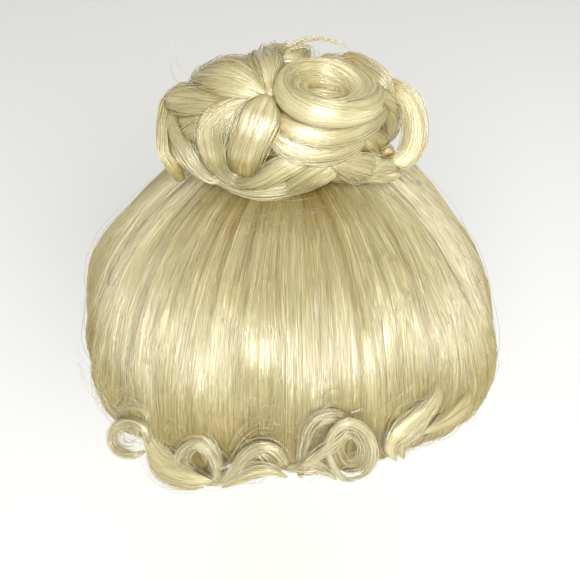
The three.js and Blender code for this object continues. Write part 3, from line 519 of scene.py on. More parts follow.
def head_ring(f, offset, phi, drop=0.0):
    c, s = np.cos(phi), np.sin(phi)
    hem = np.where(c > 0, HEAD["hem"][0] + (HEAD["hem"][1] - HEAD["hem"][0]) * s**4, HEAD["hem"][2] + (HEAD["hem"][1] - HEAD["hem"][2]) * s**2) - drop
    depth = -hem * f
    level = np.minimum(depth / HEAD["widest"], 1)
    reach = np.sqrt(np.maximum(0, 1 - (1 - level) ** 2))
    below = np.maximum(0, depth - HEAD["widest"]) / 40
    front = HEAD["front"] * reach + offset
    back = (HEAD["back"] - 9 * below**2) * reach + offset
    side = (HEAD["side"] - 3 * below**2) * reach + offset
    return np.stack([side * s, -np.where(c > 0, front, back) * c, -depth + offset * (1 - level) * 0.98], -1)


pe = gathered(combed(ph, np.full(COLS, float(LAST))), np.full(COLS, float(LAST)))
inner_rings = [head_ring(1.0, 6.0, pe, 6.0), head_ring(1.0, 3.0, pe, 2.5)] + [head_ring(f, 2.6, pe) for f in (1.0, 0.7, 0.4, 0.18, 0.05)]
rings = np.concatenate([outer, np.stack(inner_rings)])
nr = len(rings)
verts = np.concatenate([rings.reshape(-1, 3), [[0, 36, 38.0], [0, 0, 2.6]]])
i, k = np.meshgrid(np.arange(nr - 1), np.arange(COLS), indexing="ij")
k2 = (k + 1) % COLS
quads = np.stack([i * COLS + k, (i + 1) * COLS + k, (i + 1) * COLS + k2, i * COLS + k2], -1).reshape(-1, 4)
kk = np.arange(COLS)
top, bottom = len(verts) - 2, len(verts) - 1
tris = np.concatenate([np.stack([np.full(COLS, top), kk, (kk + 1) % COLS], -1),
                       np.stack([np.full(COLS, bottom), (nr - 1) * COLS + (kk + 1) % COLS, (nr - 1) * COLS + kk], -1)])
uu = np.broadcast_to(ph[None] / (2 * np.pi), (nr, COLS))
vv = np.broadcast_to(np.linspace(0.02, 0.98, nr)[:, None], (nr, COLS))
uv = np.concatenate([np.stack([uu, vv], -1).reshape(-1, 2), [[0.5, 0.0], [0.5, 1.0]]])
# The roll's tone: random variation and darker combed streaks, with painted shade in the creases.
tone = np.clip(0.58 + 0.10 * field(PP / (2 * np.pi), TT / 12) + 0.10 * mid(PP * 1.0) - 0.55 * ROLL_CREASE_SHADE - 0.5 * streaks(TT, PP), 0, 1)
# Painted shadow on the roll: where it meets the bun, in the creases, under the bun and over the low front; none on the
# inside wall.
roll_painted_shadow = np.concatenate([np.clip(0.75 * smooth((0.95 - TT) / 0.5) + 0.6 * ROLL_CREASE_SHADE + foot_painted_shadow(TT, PP), 0, 1).ravel(), np.zeros((nr - len(ts)) * COLS + 2)])
shade = roll_painted_shade(TT, PP)
# The hidden inside wall and the poles take a low tone and painted shade.
tone_all = np.concatenate([tone.ravel(), np.full((nr - len(ts)) * COLS + 2, 0.3)])
shade_all = np.concatenate([shade.ravel(), np.full((nr - len(ts)) * COLS + 2, 0.6)])
roll = mesh_from("roll_base", verts, quads, tris, uv, {"tone": tone_all, "shade": shade_all, "painted_shadow": roll_painted_shadow})
roll.data.materials.append(HAIR_BASE)
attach(roll, "root"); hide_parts("bouffant")


def roll_strands(name, count, lift, seed, radius=(0.2, 0.36), spread=1.0, m=17, phi_range=None, t_range=(0.0, 11.0), stray=0.0):
    r = np.random.default_rng(seed)
    S = count
    if phi_range is None:
        phi0 = (np.arange(S) + r.uniform(0, 1, S)) / S * 2 * np.pi
    else:
        phi0 = r.uniform(phi_range[0], phi_range[1], S)
    full = r.uniform(0, 1, S) < 0.45
    t0 = np.where(full, t_range[0], t_range[0] + r.uniform(0, 0.45, S) * (t_range[1] - t_range[0]))
    t1 = np.where(full, t_range[1] - r.uniform(0, 0.6, S), np.minimum(t_range[1], t0 + r.uniform(0.35, 0.9, S) * (t_range[1] - t_range[0])))
    x = np.linspace(0, 1, m)[None]
    t = t0[:, None] + (t1 - t0)[:, None] * x
    crossing = r.uniform(0, 1, S) < 0.12
    amp = r.normal(0, np.where(crossing, 0.016, 0.004), S) * spread
    ph1 = r.uniform(0, 2 * np.pi, S)
    wander = amp[:, None] * np.sin(ph1[:, None] + 2.2 * x * np.pi * r.uniform(0.4, 1.2, S)[:, None]) + r.normal(0, np.where(crossing, 0.02, 0.002), S)[:, None] * spread * (x - 0.5)
    phi = phi0[:, None] + wander
    h, crease_shade = relief(t, phi)
    pg = gathered(combed(phi, t), t)
    p, n = roll_frame(t, pg)
    up = np.abs(r.normal(0, 1, S))[:, None] * lift
    if stray:
        bow = np.sin(np.pi * x) * (r.uniform(0, 1, S)[:, None] ** 2) * stray
        up = up + bow
    p = p + n * (h + up - 0.25)[..., None]
    rad = r.uniform(radius[0], radius[1], S)[:, None] * taper(m, 0.1)[None]
    # Strand tone and colour as on the roll: random, with painted shade and painted shadow from the creases and the bun.
    tone = np.clip(r.normal(0.66, 0.09, S) + 0.08 * mid(phi0) - 0.3 * crease_shade.mean(1) - 0.55 * streaks(t, phi).mean(1), 0, 1)
    V, q, tr, uv, tn, al = tubes(p, n, rad, tone, x.repeat(S, 0))
    sh = roll_painted_shade(t, phi)
    sh = np.repeat(sh[:, :, None], 3, 2).ravel()
    se = np.repeat(np.clip(0.75 * smooth((0.9 - t) / 0.5) + 0.6 * crease_shade + foot_painted_shadow(t, phi), 0, 1)[:, :, None], 3, 2).ravel()
    ob = mesh_from(name, V, q, tr, uv, {"tone": tn, "shade": sh, "painted_shadow": se})
    ob.data.materials.append(HAIR_STRAND)
    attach(ob, "root")
    return ob


a = roll_strands("roll_strands_under", 1480, 0.12, 31, radius=(0.11, 0.2), m=14)
b = roll_strands("roll_strands_over", 1900, 0.3, 32, radius=(0.09, 0.18), m=14)
c = roll_strands("roll_strands_loose", 150, 0.4, 35, radius=(0.1, 0.16), m=16, stray=3.2, spread=1.8)

# fine hairs that cross the others at the foot of the bun
r = np.random.default_rng(36)
S, m = 80, 16
x = np.linspace(0, 1, m)[None]
ph0 = r.normal(0.0, 1.0, S)[:, None]
dph = r.normal(0, 0.35, S)[:, None]
t = r.uniform(0.75, 1.3, S)[:, None] + (r.uniform(0.0, 0.9, S)[:, None]) * (1 - (2 * x - 1) ** 2) * 0.8
p, n = roll_frame(t, ph0 + dph * (x - 0.5) * 2)
h, crease_shade = relief(t, ph0 + dph * (x - 0.5) * 2)
p = p + n * (h + 0.3 + r.uniform(0, 2.2, S)[:, None] * np.sin(np.pi * x) ** 0.7)[..., None]
V, q, tr, uv, tn, al = tubes(p, n, r.uniform(0.05, 0.08, S)[:, None] * taper(m, 0.2)[None], np.clip(r.normal(0.5, 0.15, S), 0, 1), x.repeat(S, 0))
# painted shade on the hairs at the foot of the bun
ob = mesh_from("roll_foot_hairs", V, q, tr, uv, {"tone": tn, "shade": np.full(len(tn), 0.25)})
ob.data.materials.append(HAIR_STRAND)
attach(ob, "root")

# a net of very fine stray hairs over the low front
r = np.random.default_rng(39)
S, m = 190, 12
x = np.linspace(0, 1, m)[None]
ph0 = r.uniform(-1.15, 1.15, S)[:, None]
bend = r.normal(0, 0.16, S)[:, None]
t = r.uniform(5.2, 8.0, S)[:, None] + r.normal(0, 0.7, S)[:, None] * (x - 0.5) - r.uniform(0.1, 0.9, S)[:, None] * np.sin(np.pi * x)
pa = ph0 + bend * (x - 0.5) * 2
p, n = roll_frame(t, pa)
h, crease_shade = relief(t, pa)
p = p + n * (h + 0.4 + r.uniform(0.3, 3.0, S)[:, None] * np.sin(np.pi * x) ** 0.7)[..., None]
V, q, tr, uv, tn, al = tubes(p, n, r.uniform(0.05, 0.085, S)[:, None] * taper(m, 0.2)[None], np.clip(r.normal(0.85, 0.1, S), 0, 1), x.repeat(S, 0))
ob = mesh_from("low_front_hairs", V, q, tr, uv, {"tone": tn, "shade": np.zeros(len(tn))})
ob.data.materials.append(LOCK_STRAND)
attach(ob, "root")

# short hairs that stand off the turned-under hem, all round
r = np.random.default_rng(37)
S, m = 320, 8
x = np.linspace(0, 1, m)[None]
ph0 = r.uniform(-np.pi, np.pi, S)[:, None]
t = np.minimum(r.uniform(6.8, 9.8, S)[:, None] + r.uniform(0.8, 2.0, S)[:, None] * x, LAST - 0.1)
pa = ph0 + r.normal(0, 0.05, S)[:, None] * x**2
p, n = roll_frame(t, gathered(combed(pa, t), t))
h, crease_shade = relief(t, pa)
p = p + n * (h + 0.2 + r.uniform(0.5, 5.5, S)[:, None] * x**1.8)[..., None]
V, q, tr, uv, tn, al = tubes(p, n, r.uniform(0.06, 0.11, S)[:, None] * taper(m, 0.2)[None], np.clip(r.normal(0.7, 0.15, S), 0, 1), x.repeat(S, 0))
# a little painted shade on the hairs at the hem
ob = mesh_from("hem_short_hairs", V, q, tr, uv, {"tone": tn, "shade": np.full(len(tn), 0.15)})
ob.data.materials.append(LOCK_STRAND)
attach(ob, "root")

# ---------------------------------------------------------------- locks
def core_facing(p):
    return unit((p - CORE_CENTRE) / CORE_RADII**2)


def from_bun(rows):
    rows = np.array(rows, float)
    p = BUN_CENTRE + rows[:, :1] * np.array([1., 0, 0]) + rows[:, 1:2] * BUN_UP + rows[:, 2:3] * BUN_OUT
    return np.concatenate([p, rows[:, 3:]], 1)


def tucked(rows, facing, start=5.0, end=5.0):
    """The stations with one more at each end, bent down into the mass below."""
    rows = np.asarray(rows, float)
    n0, n1 = facing(rows[:1, :3])[0], facing(rows[-1:, :3])[0]
    a = rows[0].copy(); b = rows[-1].copy()
    a[:3] += unit(rows[0, :3] - rows[1, :3]) * start * 0.8 - n0 * start
    b[:3] += unit(rows[-1, :3] - rows[-2, :3]) * end * 0.8 - n1 * end
    out = [rows]
    if start:
        out = [a[None]] + out
    if end:
        out = out + [b[None]]
    return np.concatenate(out)


class Lock:
    """A swept lock: centre line, flat-side normal and the two half sizes."""

    def __init__(self, stations, facing, samples=57):
        st = np.asarray(stations, float)
        u = np.linspace(0, len(st) - 1, samples)
        row = catmull(st, u)
        d = np.r_[0, np.cumsum(np.linalg.norm(np.diff(row[:, :3], axis=0), axis=1))]
        even = np.interp(np.linspace(0, d[-1], samples), d, u)
        row = catmull(st, even)
        self.p, self.hw, self.ht = row[:, :3], np.maximum(row[:, 3], 1.0) / 2, np.maximum(row[:, 4], 1.0) / 2
        self.length = d[-1]
        self.t = unit(np.gradient(self.p, axis=0))
        n = facing(self.p)
        self.w = unit(np.cross(self.t, n))
        self.n = unit(np.cross(self.w, self.t))
        self.m = samples

    def at(self, x):
        """Centre, across, normal, half width, half thickness at the shares x."""
        f = np.clip(x, 0, 1) * (self.m - 1)
        i = np.minimum(f.astype(int), self.m - 2)
        g = (f - i)[..., None]
        mix = lambda a: a[i] * (1 - g) + a[i + 1] * g
        return mix(self.p), unit(mix(self.w)), unit(mix(self.n)), mix(self.hw[:, None])[..., 0], mix(self.ht[:, None])[..., 0]


def round_out(c, k=0.8):
    """Cosine or sine of a section angle, for a slightly boxy oval."""
    return np.sign(c) * np.abs(c) ** k


def lock_body(lock, cols=32, rows=34, seed=0, scale=0.96, ridge_height=0.05):
    """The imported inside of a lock: a closed form with soft lengthwise ridges."""
    x = np.linspace(0, 1, rows)
    p, w, n, hw, ht = lock.at(x)
    end = np.clip(np.minimum(x, 1 - x) / 0.06, 0, 1) ** 0.5 * 0.75 + 0.25
    a = np.linspace(0, 2 * np.pi, cols, endpoint=False)
    ridge = Noise2(13, 3, seed + 1)
    rr = ridge(a[None] / (2 * np.pi), x[:, None] * 0.6)
    f = scale * (1 + ridge_height * rr) * end[:, None]
    V = p[:, None] + (hw[:, None] * f * round_out(np.cos(a))[None])[..., None] * w[:, None] + (ht[:, None] * f * round_out(np.sin(a))[None])[..., None] * n[:, None]
    i, k = np.meshgrid(np.arange(rows - 1), np.arange(cols), indexing="ij")
    k2 = (k + 1) % cols
    q = np.stack([i * cols + k, (i + 1) * cols + k, (i + 1) * cols + k2, i * cols + k2], -1).reshape(-1, 4)
    verts = np.concatenate([V.reshape(-1, 3), [p[0], p[-1]]])
    kk = np.arange(cols)
    s, e = len(verts) - 2, len(verts) - 1
    tr = np.concatenate([np.stack([np.full(cols, s), kk, (kk + 1) % cols], -1), np.stack([np.full(cols, e), (rows - 1) * cols + (kk + 1) % cols, (rows - 1) * cols + kk], -1)])
    fold = np.minimum(a, 2 * np.pi - a) / np.pi
    uu = np.broadcast_to(fold[None], (rows, cols))
    vv = np.broadcast_to(x[:, None], (rows, cols))
    uv = np.concatenate([np.stack([uu, vv], -1).reshape(-1, 2), [[0.5, 0], [0.5, 1]]])
    # Tone: random ridges, with painted shade at the lock's sides and on its underside.
    tone = np.clip(0.56 + 0.16 * rr - 0.16 * np.abs(np.cos(a))[None] ** 4 - 0.2 * (np.sin(a) < -0.3)[None], 0, 1)
    return verts, q, tr, uv, np.r_[tone.ravel(), 0.4, 0.4]


def bundle(lock, count, seed, radius=(0.11, 0.21), m=15, shell=(0.94, 1.05), arc=(0, 2 * np.pi), twist=0.0, fray=0.05, ends=(0.0, 1.0), wander=0.12, noise=0.12, tone=0.62, loose=0.0, solid=False, spread=0.18):
    """Strands that run along a lock, in its outer skin."""
    r = np.random.default_rng(seed)
    S = count
    x0 = ends[0] + np.abs(r.normal(0, fray, S)); x1 = ends[1] - np.abs(r.normal(0, fray, S))
    short = r.uniform(0, 1, S) < 0.3
    x0 = np.where(short, r.uniform(0, 0.45, S), x0); x1 = np.where(short, np.minimum(x0 + r.uniform(0.35, 0.6, S), 1), x1)
    x = x0[:, None] + (x1 - x0)[:, None] * np.linspace(0, 1, m)[None]
    a0 = arc[0] + (arc[1] - arc[0]) * (np.arange(S) + r.uniform(0, 1, S)) / S
    a = a0[:, None] + twist * x + wander * np.sin(r.uniform(0, 6.28, S)[:, None] + x * r.uniform(2, 5, S)[:, None]) + r.normal(0, 0.05, S)[:, None]
    rho = (np.sqrt(r.uniform(0, 1, S)) * shell[1] if solid else r.uniform(shell[0], shell[1], S))[:, None] + 0.012 * np.sin(r.uniform(0, 6.28, S)[:, None] + x * 7)
    if loose:
        rho = rho + loose * (r.uniform(0, 1, S) ** 3)[:, None] * np.sin(np.pi * np.linspace(0, 1, m))[None]
    p, w, n, hw, ht = lock.at(x)
    end = 0.45 + 0.55 * np.clip(np.minimum(x, 1 - x) / 0.08, 0, 1) ** 0.6
    d = (hw * rho * end * round_out(np.cos(a)))[..., None] * w + (ht * rho * end * round_out(np.sin(a)))[..., None] * n
    p = p + d
    p = p + noise * np.stack([np.sin(r.uniform(0, 6.28, S)[:, None] + x * r.uniform(3, 8, S)[:, None]) for _ in range(3)], -1)
    rad = r.uniform(radius[0], radius[1], S)[:, None] * taper(m, 0.15)[None]
    return p, unit(d + 1e-6 * n), rad, np.clip(r.normal(tone, spread, S), 0, 1), x


SOLIDS = []


def add_solid(key, lock):
    """Keep a lock's form, so that its neighbours get painted shadow where they meet it."""
    step = lock.length / (lock.m - 1)
    SOLIDS.append((key, lock.p, lock.t / (step * 1.3), lock.w / lock.hw[:, None], lock.n / lock.ht[:, None]))


def painted_contact_shadow(points, key):
    """0-1: how close each point is to a neighbouring lock, which sets the painted contact shadow."""
    flat = points.reshape(-1, 3)
    others = [q for q in SOLIDS if q[0] != key]
    P, T, W, N = [np.concatenate([o[c] for o in others]) for c in (1, 2, 3, 4)]
    best = np.full(len(flat), 9.0)
    for lo_ in range(0, len(flat), 1500):
        f = flat[lo_:lo_ + 1500]
        rho = sum(((f @ A.T) - np.einsum("ij,ij->i", A, P)[None]) ** 2 for A in (T, W, N))
        best[lo_:lo_ + 1500] = np.sqrt(rho.min(1))
    return smooth((1.30 - best) / 0.30).reshape(points.shape[:-1])


def emit_strands(name, parts, replaces=None, shade=None, mat=None, key=None):
    VV, QQ, TR, UV, TN, SH, SE = [], [], [], [], [], [], []
    off = 0
    total = sum(p[0].shape[0] for p in parts)
    done = 0
    for p, n, rad, tone, x in parts:
        V, q, t, uv, tn, al = tubes(p, n, rad, tone, x)
        uv = uv.copy(); uv[:, 0] = (done + uv[:, 0] * p.shape[0]) / total
        done += p.shape[0]
        sh = np.zeros(p.shape[:2]) if shade is None else shade(p, x)
        VV.append(V); QQ.append(q + off); TR.append(t + off); UV.append(uv); TN.append(tn); SH.append(np.repeat(sh[:, :, None], 3, 2).ravel())
        se = painted_contact_shadow(p, key) * 0.8 if key else np.zeros(p.shape[:2])
        SE.append(np.repeat(se[:, :, None], 3, 2).ravel())
        off += len(V)
    ob = mesh_from(name, np.concatenate(VV), np.concatenate(QQ), np.concatenate(TR), np.concatenate(UV), {"tone": np.concatenate(TN), "shade": np.concatenate(SH), "painted_shadow": np.concatenate(SE)})
    ob.data.materials.append(mat or LOCK_STRAND)
    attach(ob, "root")
    if replaces:
        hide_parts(replaces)
    return ob


def emit_body(name, data, replaces=None, shade=None, mat=None, key=None, painted_shadow=None):
    verts, q, tr, uv, tone = data
    n = len(verts)
    sh = np.zeros(n) if shade is None else shade(verts)
    se = painted_contact_shadow(verts, key) if key else np.zeros(n)
    if painted_shadow is not None:
        se = np.maximum(se, painted_shadow)
    ob = mesh_from(name, verts, q, tr, uv, {"tone": tone, "shade": sh, "painted_shadow": se})
    ob.data.materials.append(mat or LOCK_BASE)
    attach(ob, "root")
    if replaces:
        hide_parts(replaces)
    return ob


def loose_hairs(name, paths, radius=0.13, m=26, copies=1, spread=0.8, seed=0, tone=0.75, tips=0.3):
    """Single loose hairs along given points; copies scatter beside them."""
    r = np.random.default_rng(seed)
    P, N, R, T, X = [], [], [], [], []
    for pts in paths:
        pts = np.asarray(pts, float)
        for c in range(copies):
            u = np.linspace(0, (len(pts) - 1) * (1 - (0.25 * r.uniform() if c else 0)), m)
            p = catmull(pts, u)
            off = r.normal(0, spread, 3) * (0 if c == 0 else 1)
            p = p + off[None] * np.linspace(0.3, 1, m)[:, None] + 0.25 * np.stack([np.sin(r.uniform(0, 6) + np.linspace(0, r.uniform(3, 7), m)) for _ in range(3)], -1)
            P.append(p); N.append(np.broadcast_to([0.1, -0.6, 0.8], p.shape))
            R.append(radius * r.uniform(0.8, 1.2) * (1 - (1 - tips) * np.linspace(0, 1, m))); T.append(np.clip(tone + r.normal(0, 0.1), 0, 1)); X.append(np.linspace(0, 1, m))
    return emit_strands(name, [(np.array(P), np.array(N, float), np.array(R), np.array(T), np.array(X))])


# Strands that each lock shows, its twist, and how far each end is tucked down.
BUN_STYLE = {
    "u_loop": (130, 0.5, 4, 4), "crescent_lock": (120, 0.3, 3, 5), "left_diagonal_lock": (90, 0.3, 3, 9), "left_loop": (90, 0.0, 4, 9),
    "puff_left_upper": (110, 0.2, 7, 3), "puff_left_lower": (80, 0.2, 6, 4), "puff_top_left": (140, 0.2, 8, 3), "top_fan_lock": (110, 0.0, 3, 3),
    "center_tongue": (120, 0.0, 3, 6), "rose_band_upper": (110, 0.3, 5, 4), "rose_band_lower": (100, 0.3, 5, 4), "right_lower_lock": (110, 0.2, 4, 5),
    "right_mid_lock": (60, 0.4, 4, 5), "right_loop": (110, 0.2, 5, 5), "right_back_lock": (90, 0.2, 4, 4), "top_tuft": (60, 0.2, 3, 0),
}
# Fuller widths for the locks that spread where they turn over.
POINTED = {"right_lower_lock": (0.35, 0.8), "right_back_lock": (0.35, 0.8), "left_loop": (0.7, 1.0), "left_diagonal_lock": (0.55, 0.95)}
SUNK = {"right_mid_lock": 5.0, "left_loop": 0.5}
WIDER = {"left_diagonal_lock": [1.35], "left_loop": [1.15], "right_mid_lock": [1.0, 0.9, 0.75, 0.5], "center_tongue": [1.1, 1.45, 1.22, 1.06, 1.0, 0.95], "u_loop": [1, 1.05, 1.08, 1.1, 1.1, 1.1, 1.05, 1, 1, 1],
         "rose_band_upper": [1.2, 1.1, 1.1, 1.1, 1.05, 1.0], "rose_band_lower": [1.3, 1.15, 1.1, 1.1, 1.1], "right_lower_lock": [1, 1.1, 1.15, 1.15, 1.2]}


def bun_painted_shade(p, x=None):
    """Painted shade: deeper colour in the bun's folds and where it meets the roll."""
    q = (p - CORE_CENTRE) / CORE_RADII
    depth = np.linalg.norm(q, axis=-1)
    return np.clip(0.8 * smooth((1.08 - depth) / 0.16), 0, 1)


def tongue_painted_shade(p, x=None):
    """Painted shade: the tongue's lower end, and the far side of the loops, are deep gold."""
    up = (p - BUN_CENTRE) @ BUN_UP
    return np.clip(0.75 * smooth((-15.5 - up) / 6.0), 0, 1)


def loop_painted_shade(p, x=None):
    # Painted shade: deeper at the loop's lower end and a little at its upper end.
    up = (p - BUN_CENTRE) @ BUN_UP
    return np.clip(0.6 * smooth((-6 - up) / 10.0) + 0.35 * smooth((up - 8) / 6.0), 0, 1)


HELD = []
for name, rows in BUN_LOCKS.items():
    facing = (lambda p: np.broadcast_to(BUN_OUT, p.shape)) if name in ("left_loop", "right_loop") else core_facing
    rows = from_bun(rows)
    if name in WIDER:
        rows[:, 3] *= np.array(WIDER[name])
    if name == "right_mid_lock":
        rows[0, 3:5] *= 0.5; rows[-1, 3:5] *= 0.3; rows[-2, 3:5] *= 0.55
    if name == "top_tuft":
        rows[-1, 3:5] *= 0.3; rows[-2, 3:5] *= 0.55; rows[-3, 3:5] *= 0.8
    if name in POINTED:
        rows[-1, 3:5] *= POINTED[name][0]; rows[-2, 3:5] *= POINTED[name][1]
    if name in SUNK:
        rows[:, :3] -= facing(rows[:, :3]) * SUNK[name]
    count, twist, t0, t1 = BUN_STYLE[name]
    # painted shade for each lock; right_mid_lock, tucked under, is shaded throughout
    sh = {"center_tongue": tongue_painted_shade, "left_loop": tongue_painted_shade, "right_loop": loop_painted_shade, "right_mid_lock": lambda p, x=None: np.full(p.shape[:-1], 0.5)}.get(name, bun_painted_shade)
    HELD.append((name, Lock(tucked(rows, facing, t0, t1), facing), count, twist, sh, True))
for name, rows in FILL_LOCKS.items():
    # painted shade for the fill locks, less for u_loop_inner and the base fills
    deep = {"u_loop_inner": 0.1, "base_fill_right": 0.35, "base_fill_left": 0.35}.get(name, 0.7)
    HELD.append((name, Lock(tucked(rows, core_facing, 3, 3), core_facing), 36, 0.2, (lambda p, x=None, k=deep: np.full(p.shape[:-1], k)), False))
for name, rows in BACK_PUFFS.items():
    rows = np.array(rows, float)
    if name == "back_puff_mid":
        rows[0, :3] += (0, 3, -6)
    HELD.append((name, Lock(tucked(rows, core_facing, 4, 4), core_facing), 95, 0.2, bun_painted_shade, True))
for name, lock, *_ in HELD:
    if name != "top_tuft":
        add_solid(name, lock)
ring = np.linspace(0, 2 * np.pi, 40, endpoint=False)
TILT = np.array([list(row) for row in (Matrix.Rotation(math.radians(8), 3, "Y") @ Matrix.Rotation(math.radians(-8), 3, "X"))])
ROSE_CENTRE = np.array([17.8, 21.0, 87.6])
rp = np.stack([21.4 * np.cos(ring), 21.4 * np.sin(ring), 0 * ring], -1) @ TILT.T + ROSE_CENTRE
rt = np.stack([-np.sin(ring), np.cos(ring), 0 * ring], -1) @ TILT.T / 5.0
rw = np.stack([np.cos(ring), np.sin(ring), 0 * ring], -1) @ TILT.T / 5.2
SOLIDS.append(("rose_roll", rp, rt, rw, np.broadcast_to(TILT[:, 2] / 6.3, rp.shape)))
seed = 100
for name, lock, count, twist, sh, real in HELD:
    seed += 7
    if name == "top_tuft":
        # painted shade, deepest where the tuft leaves the bun
        emit_strands("top_tuft_strands", [bundle(lock, 90, seed, shell=(0.1, 1.1), solid=True, fray=0.12, radius=(0.1, 0.17))], "top_tuft",
                     shade=lambda p, x=None: np.clip(0.8 - 1.3 * (x if x is not None else 0), 0, 1))
        continue
    body = lock_body(lock, seed=seed) if real else lock_body(lock, cols=24, rows=24, seed=seed)
    emit_body(name + "_core", body, name if real else None, shade=sh, key=name)
    emit_strands(name + "_strands", [bundle(lock, count, seed + 1, twist=twist, loose=0.38, wander=0.2 if real else 0.3, spread=0.24)], shade=sh, key=name)

# ---------------------------------------------------------------- the flat coil
# Section from the under side out round the rim and in to the middle: radius, height.
ROSE_SECTION = np.array([(3, -6), (14, -6.2), (23.5, -5.6), (27.2, -3), (28, 0), (27.3, 3.2), (25.3, 5.4), (22.3, 6.1), (18.8, 5.2), (15, 3.6), (11.4, 2.1), (8, 1.0), (5, 0.5), (2.4, 0.7), (0.4, 0.8)], float)
ROSE_SECTION[:, 0] *= 0.93
rose_ripple = Noise1(9, 1.0, 61)
rose_fine = Noise1(34, 1.0, 62)


def rose_surface(s, a, lift=0.0):
    """Point on the coil: s runs 0-1 along the section, a is the angle round."""
    rz = catmull(ROSE_SECTION, s * (len(ROSE_SECTION) - 1))
    r, z = rz[..., 0], rz[..., 1]
    turn = s * 2.6 + a / (2 * np.pi)
    groove = np.abs(((turn * 1.0) % 1.0) * 2 - 1)
    on_top = smooth((s - 0.25) / 0.15)
    on_top = on_top * smooth((r - 3.0) / 7.0)
    z = z - on_top * 0.8 * np.exp(-((1 - groove) / 0.14) ** 2) + on_top * (0.3 * rose_ripple(turn) + 0.14 * rose_fine(turn))
    # the eye: the inner end of the coil slips under the ring above it
    x, y = r * np.cos(a), r * np.sin(a)
    ex, ey = (x + 2.0) / 8.2, (y + 0.2) / 4.6
    rho = np.sqrt(ex**2 + ey**2)
    inside = np.clip(1 - rho, 0, 1)
    upper = smooth((ey / (rho + 1e-6) + 0.15) / 0.7)
    z = z - np.where(rho < 1, 2.6 * upper * np.exp(-inside / 0.22), 0) + 0.5 * upper * np.exp(-((rho - 1.12) / 0.16) ** 2)
    z = z + lift
    rr = r * (1 + 0.02 * np.sin(2 * a + 0.6) + 0.012 * np.sin(3 * a + 2.0))
    local = np.stack([rr * np.cos(a), rr * np.sin(a), z], -1)
    return local @ TILT.T + ROSE_CENTRE


rows, cols = 66, 132
ss = np.linspace(0, 1, rows)[:, None]; aa = np.linspace(0, 2 * np.pi, cols, endpoint=False)[None]
V = rose_surface(ss + 0 * aa, aa + 0 * ss)
i, k = np.meshgrid(np.arange(rows - 1), np.arange(cols), indexing="ij"); k2 = (k + 1) % cols
q = np.stack([i * cols + k, i * cols + k2, (i + 1) * cols + k2, (i + 1) * cols + k], -1).reshape(-1, 4)
ctr = np.stack([V[0].mean(0), V[-1].mean(0)])
verts = np.concatenate([V.reshape(-1, 3), ctr])
kk = np.arange(cols); s_, e_ = len(verts) - 2, len(verts) - 1
tr = np.concatenate([np.stack([np.full(cols, s_), (kk + 1) % cols, kk], -1), np.stack([np.full(cols, e_), (rows - 1) * cols + kk, (rows - 1) * cols + (kk + 1) % cols], -1)])
uv = np.concatenate([np.stack([np.broadcast_to(ss, (rows, cols)), np.broadcast_to(aa / (2 * np.pi), (rows, cols))], -1).reshape(-1, 2), [[0, 0.5], [1, 0.5]]])
# Tone: a ripple along the turns, and painted shade in the dish toward the middle.
tone = 0.6 + 0.2 * rose_ripple(ss * 2.6 + aa / (2 * np.pi)) - 0.4 * smooth((ss - 0.6) / 0.2) * smooth((1.02 - ss) / 0.2)


def eye_rho(s, a):
    r = catmull(ROSE_SECTION, s * (len(ROSE_SECTION) - 1))[..., 0]
    return np.hypot((r * np.cos(a) + 2.0) / 8.2, (r * np.sin(a) + 0.2) / 4.6)


def eye_painted_shadow(s, a):
    """Painted shadow: a dark line where the inner end slips under, and lines between the turns."""
    rz = catmull(ROSE_SECTION, s * (len(ROSE_SECTION) - 1))
    x, y = rz[..., 0] * np.cos(a), rz[..., 0] * np.sin(a)
    ex, ey = (x + 2.0) / 8.2, (y + 0.2) / 4.6
    rho = np.sqrt(ex**2 + ey**2)
    upper = smooth((ey / (rho + 1e-6) - 0.1) / 0.5)
    turn = s * 2.6 + a / (2 * np.pi)
    groove = np.abs((turn % 1.0) * 2 - 1)
    line = 0.45 * np.exp(-((1 - groove) / 0.10) ** 2) * smooth((s - 0.3) / 0.1) * smooth((rz[..., 0] - 4) / 6) * (0.5 + 0.5 * np.sin(a * 2 + 1))
    return np.clip(0.95 * upper * np.exp(-((rho - 0.95) / 0.13) ** 2) + 0.35 * smooth((1.15 - rho) / 0.5) * upper + line, 0, 1)


# painted shadow on the coil's eye and between its turns
eye = np.r_[eye_painted_shadow(ss + 0 * aa, aa + 0 * ss).ravel(), 0, 0]
emit_body("rose_roll_core", (verts, q, tr, uv, np.r_[np.clip(tone, 0, 1).ravel(), 0.5, 0.5]), "rose_roll", painted_shadow=eye, key="rose_roll")
r = np.random.default_rng(77)
S, m = 430, 18
s0 = 0.14 + 0.83 * r.uniform(0, 1, S) ** 0.8
a0 = r.uniform(0, 2 * np.pi, S)
span = r.uniform(0.5, 2.0, S) * np.where(s0 > 0.8, 1.6, 1.0)
x = np.linspace(0, 1, m)[None]
a = a0[:, None] - span[:, None] * x
s = s0[:, None] + (span[:, None] * x) / (2 * np.pi) / 2.6 * r.uniform(0.5, 1.5, S)[:, None] + 0.006 * np.sin(r.uniform(0, 6, S)[:, None] + 5 * x)
s = np.clip(s, 0.02, 0.985)
keep = (eye_rho(s, a).min(1) > 1.22) | (s.max(1) < 0.5)
s, a = s[keep], a[keep]
S = len(s)
p = rose_surface(s, a, 0.12 + 0.25 * np.abs(r.normal(0, 1, S))[:, None] * np.ones((1, m)) * 0.5)
rad = r.uniform(0.11, 0.2, S)[:, None] * taper(m, 0.12)[None]
# the strands darken near the eye by the painted shadow
emit_strands("rose_roll_strands", [(p, np.broadcast_to(TILT[:, 2], p.shape), rad, np.clip(r.normal(0.6, 0.2, S) - 0.5 * eye_painted_shadow(s, a).mean(1), 0, 1), x.repeat(S, 0))], key="rose_roll")

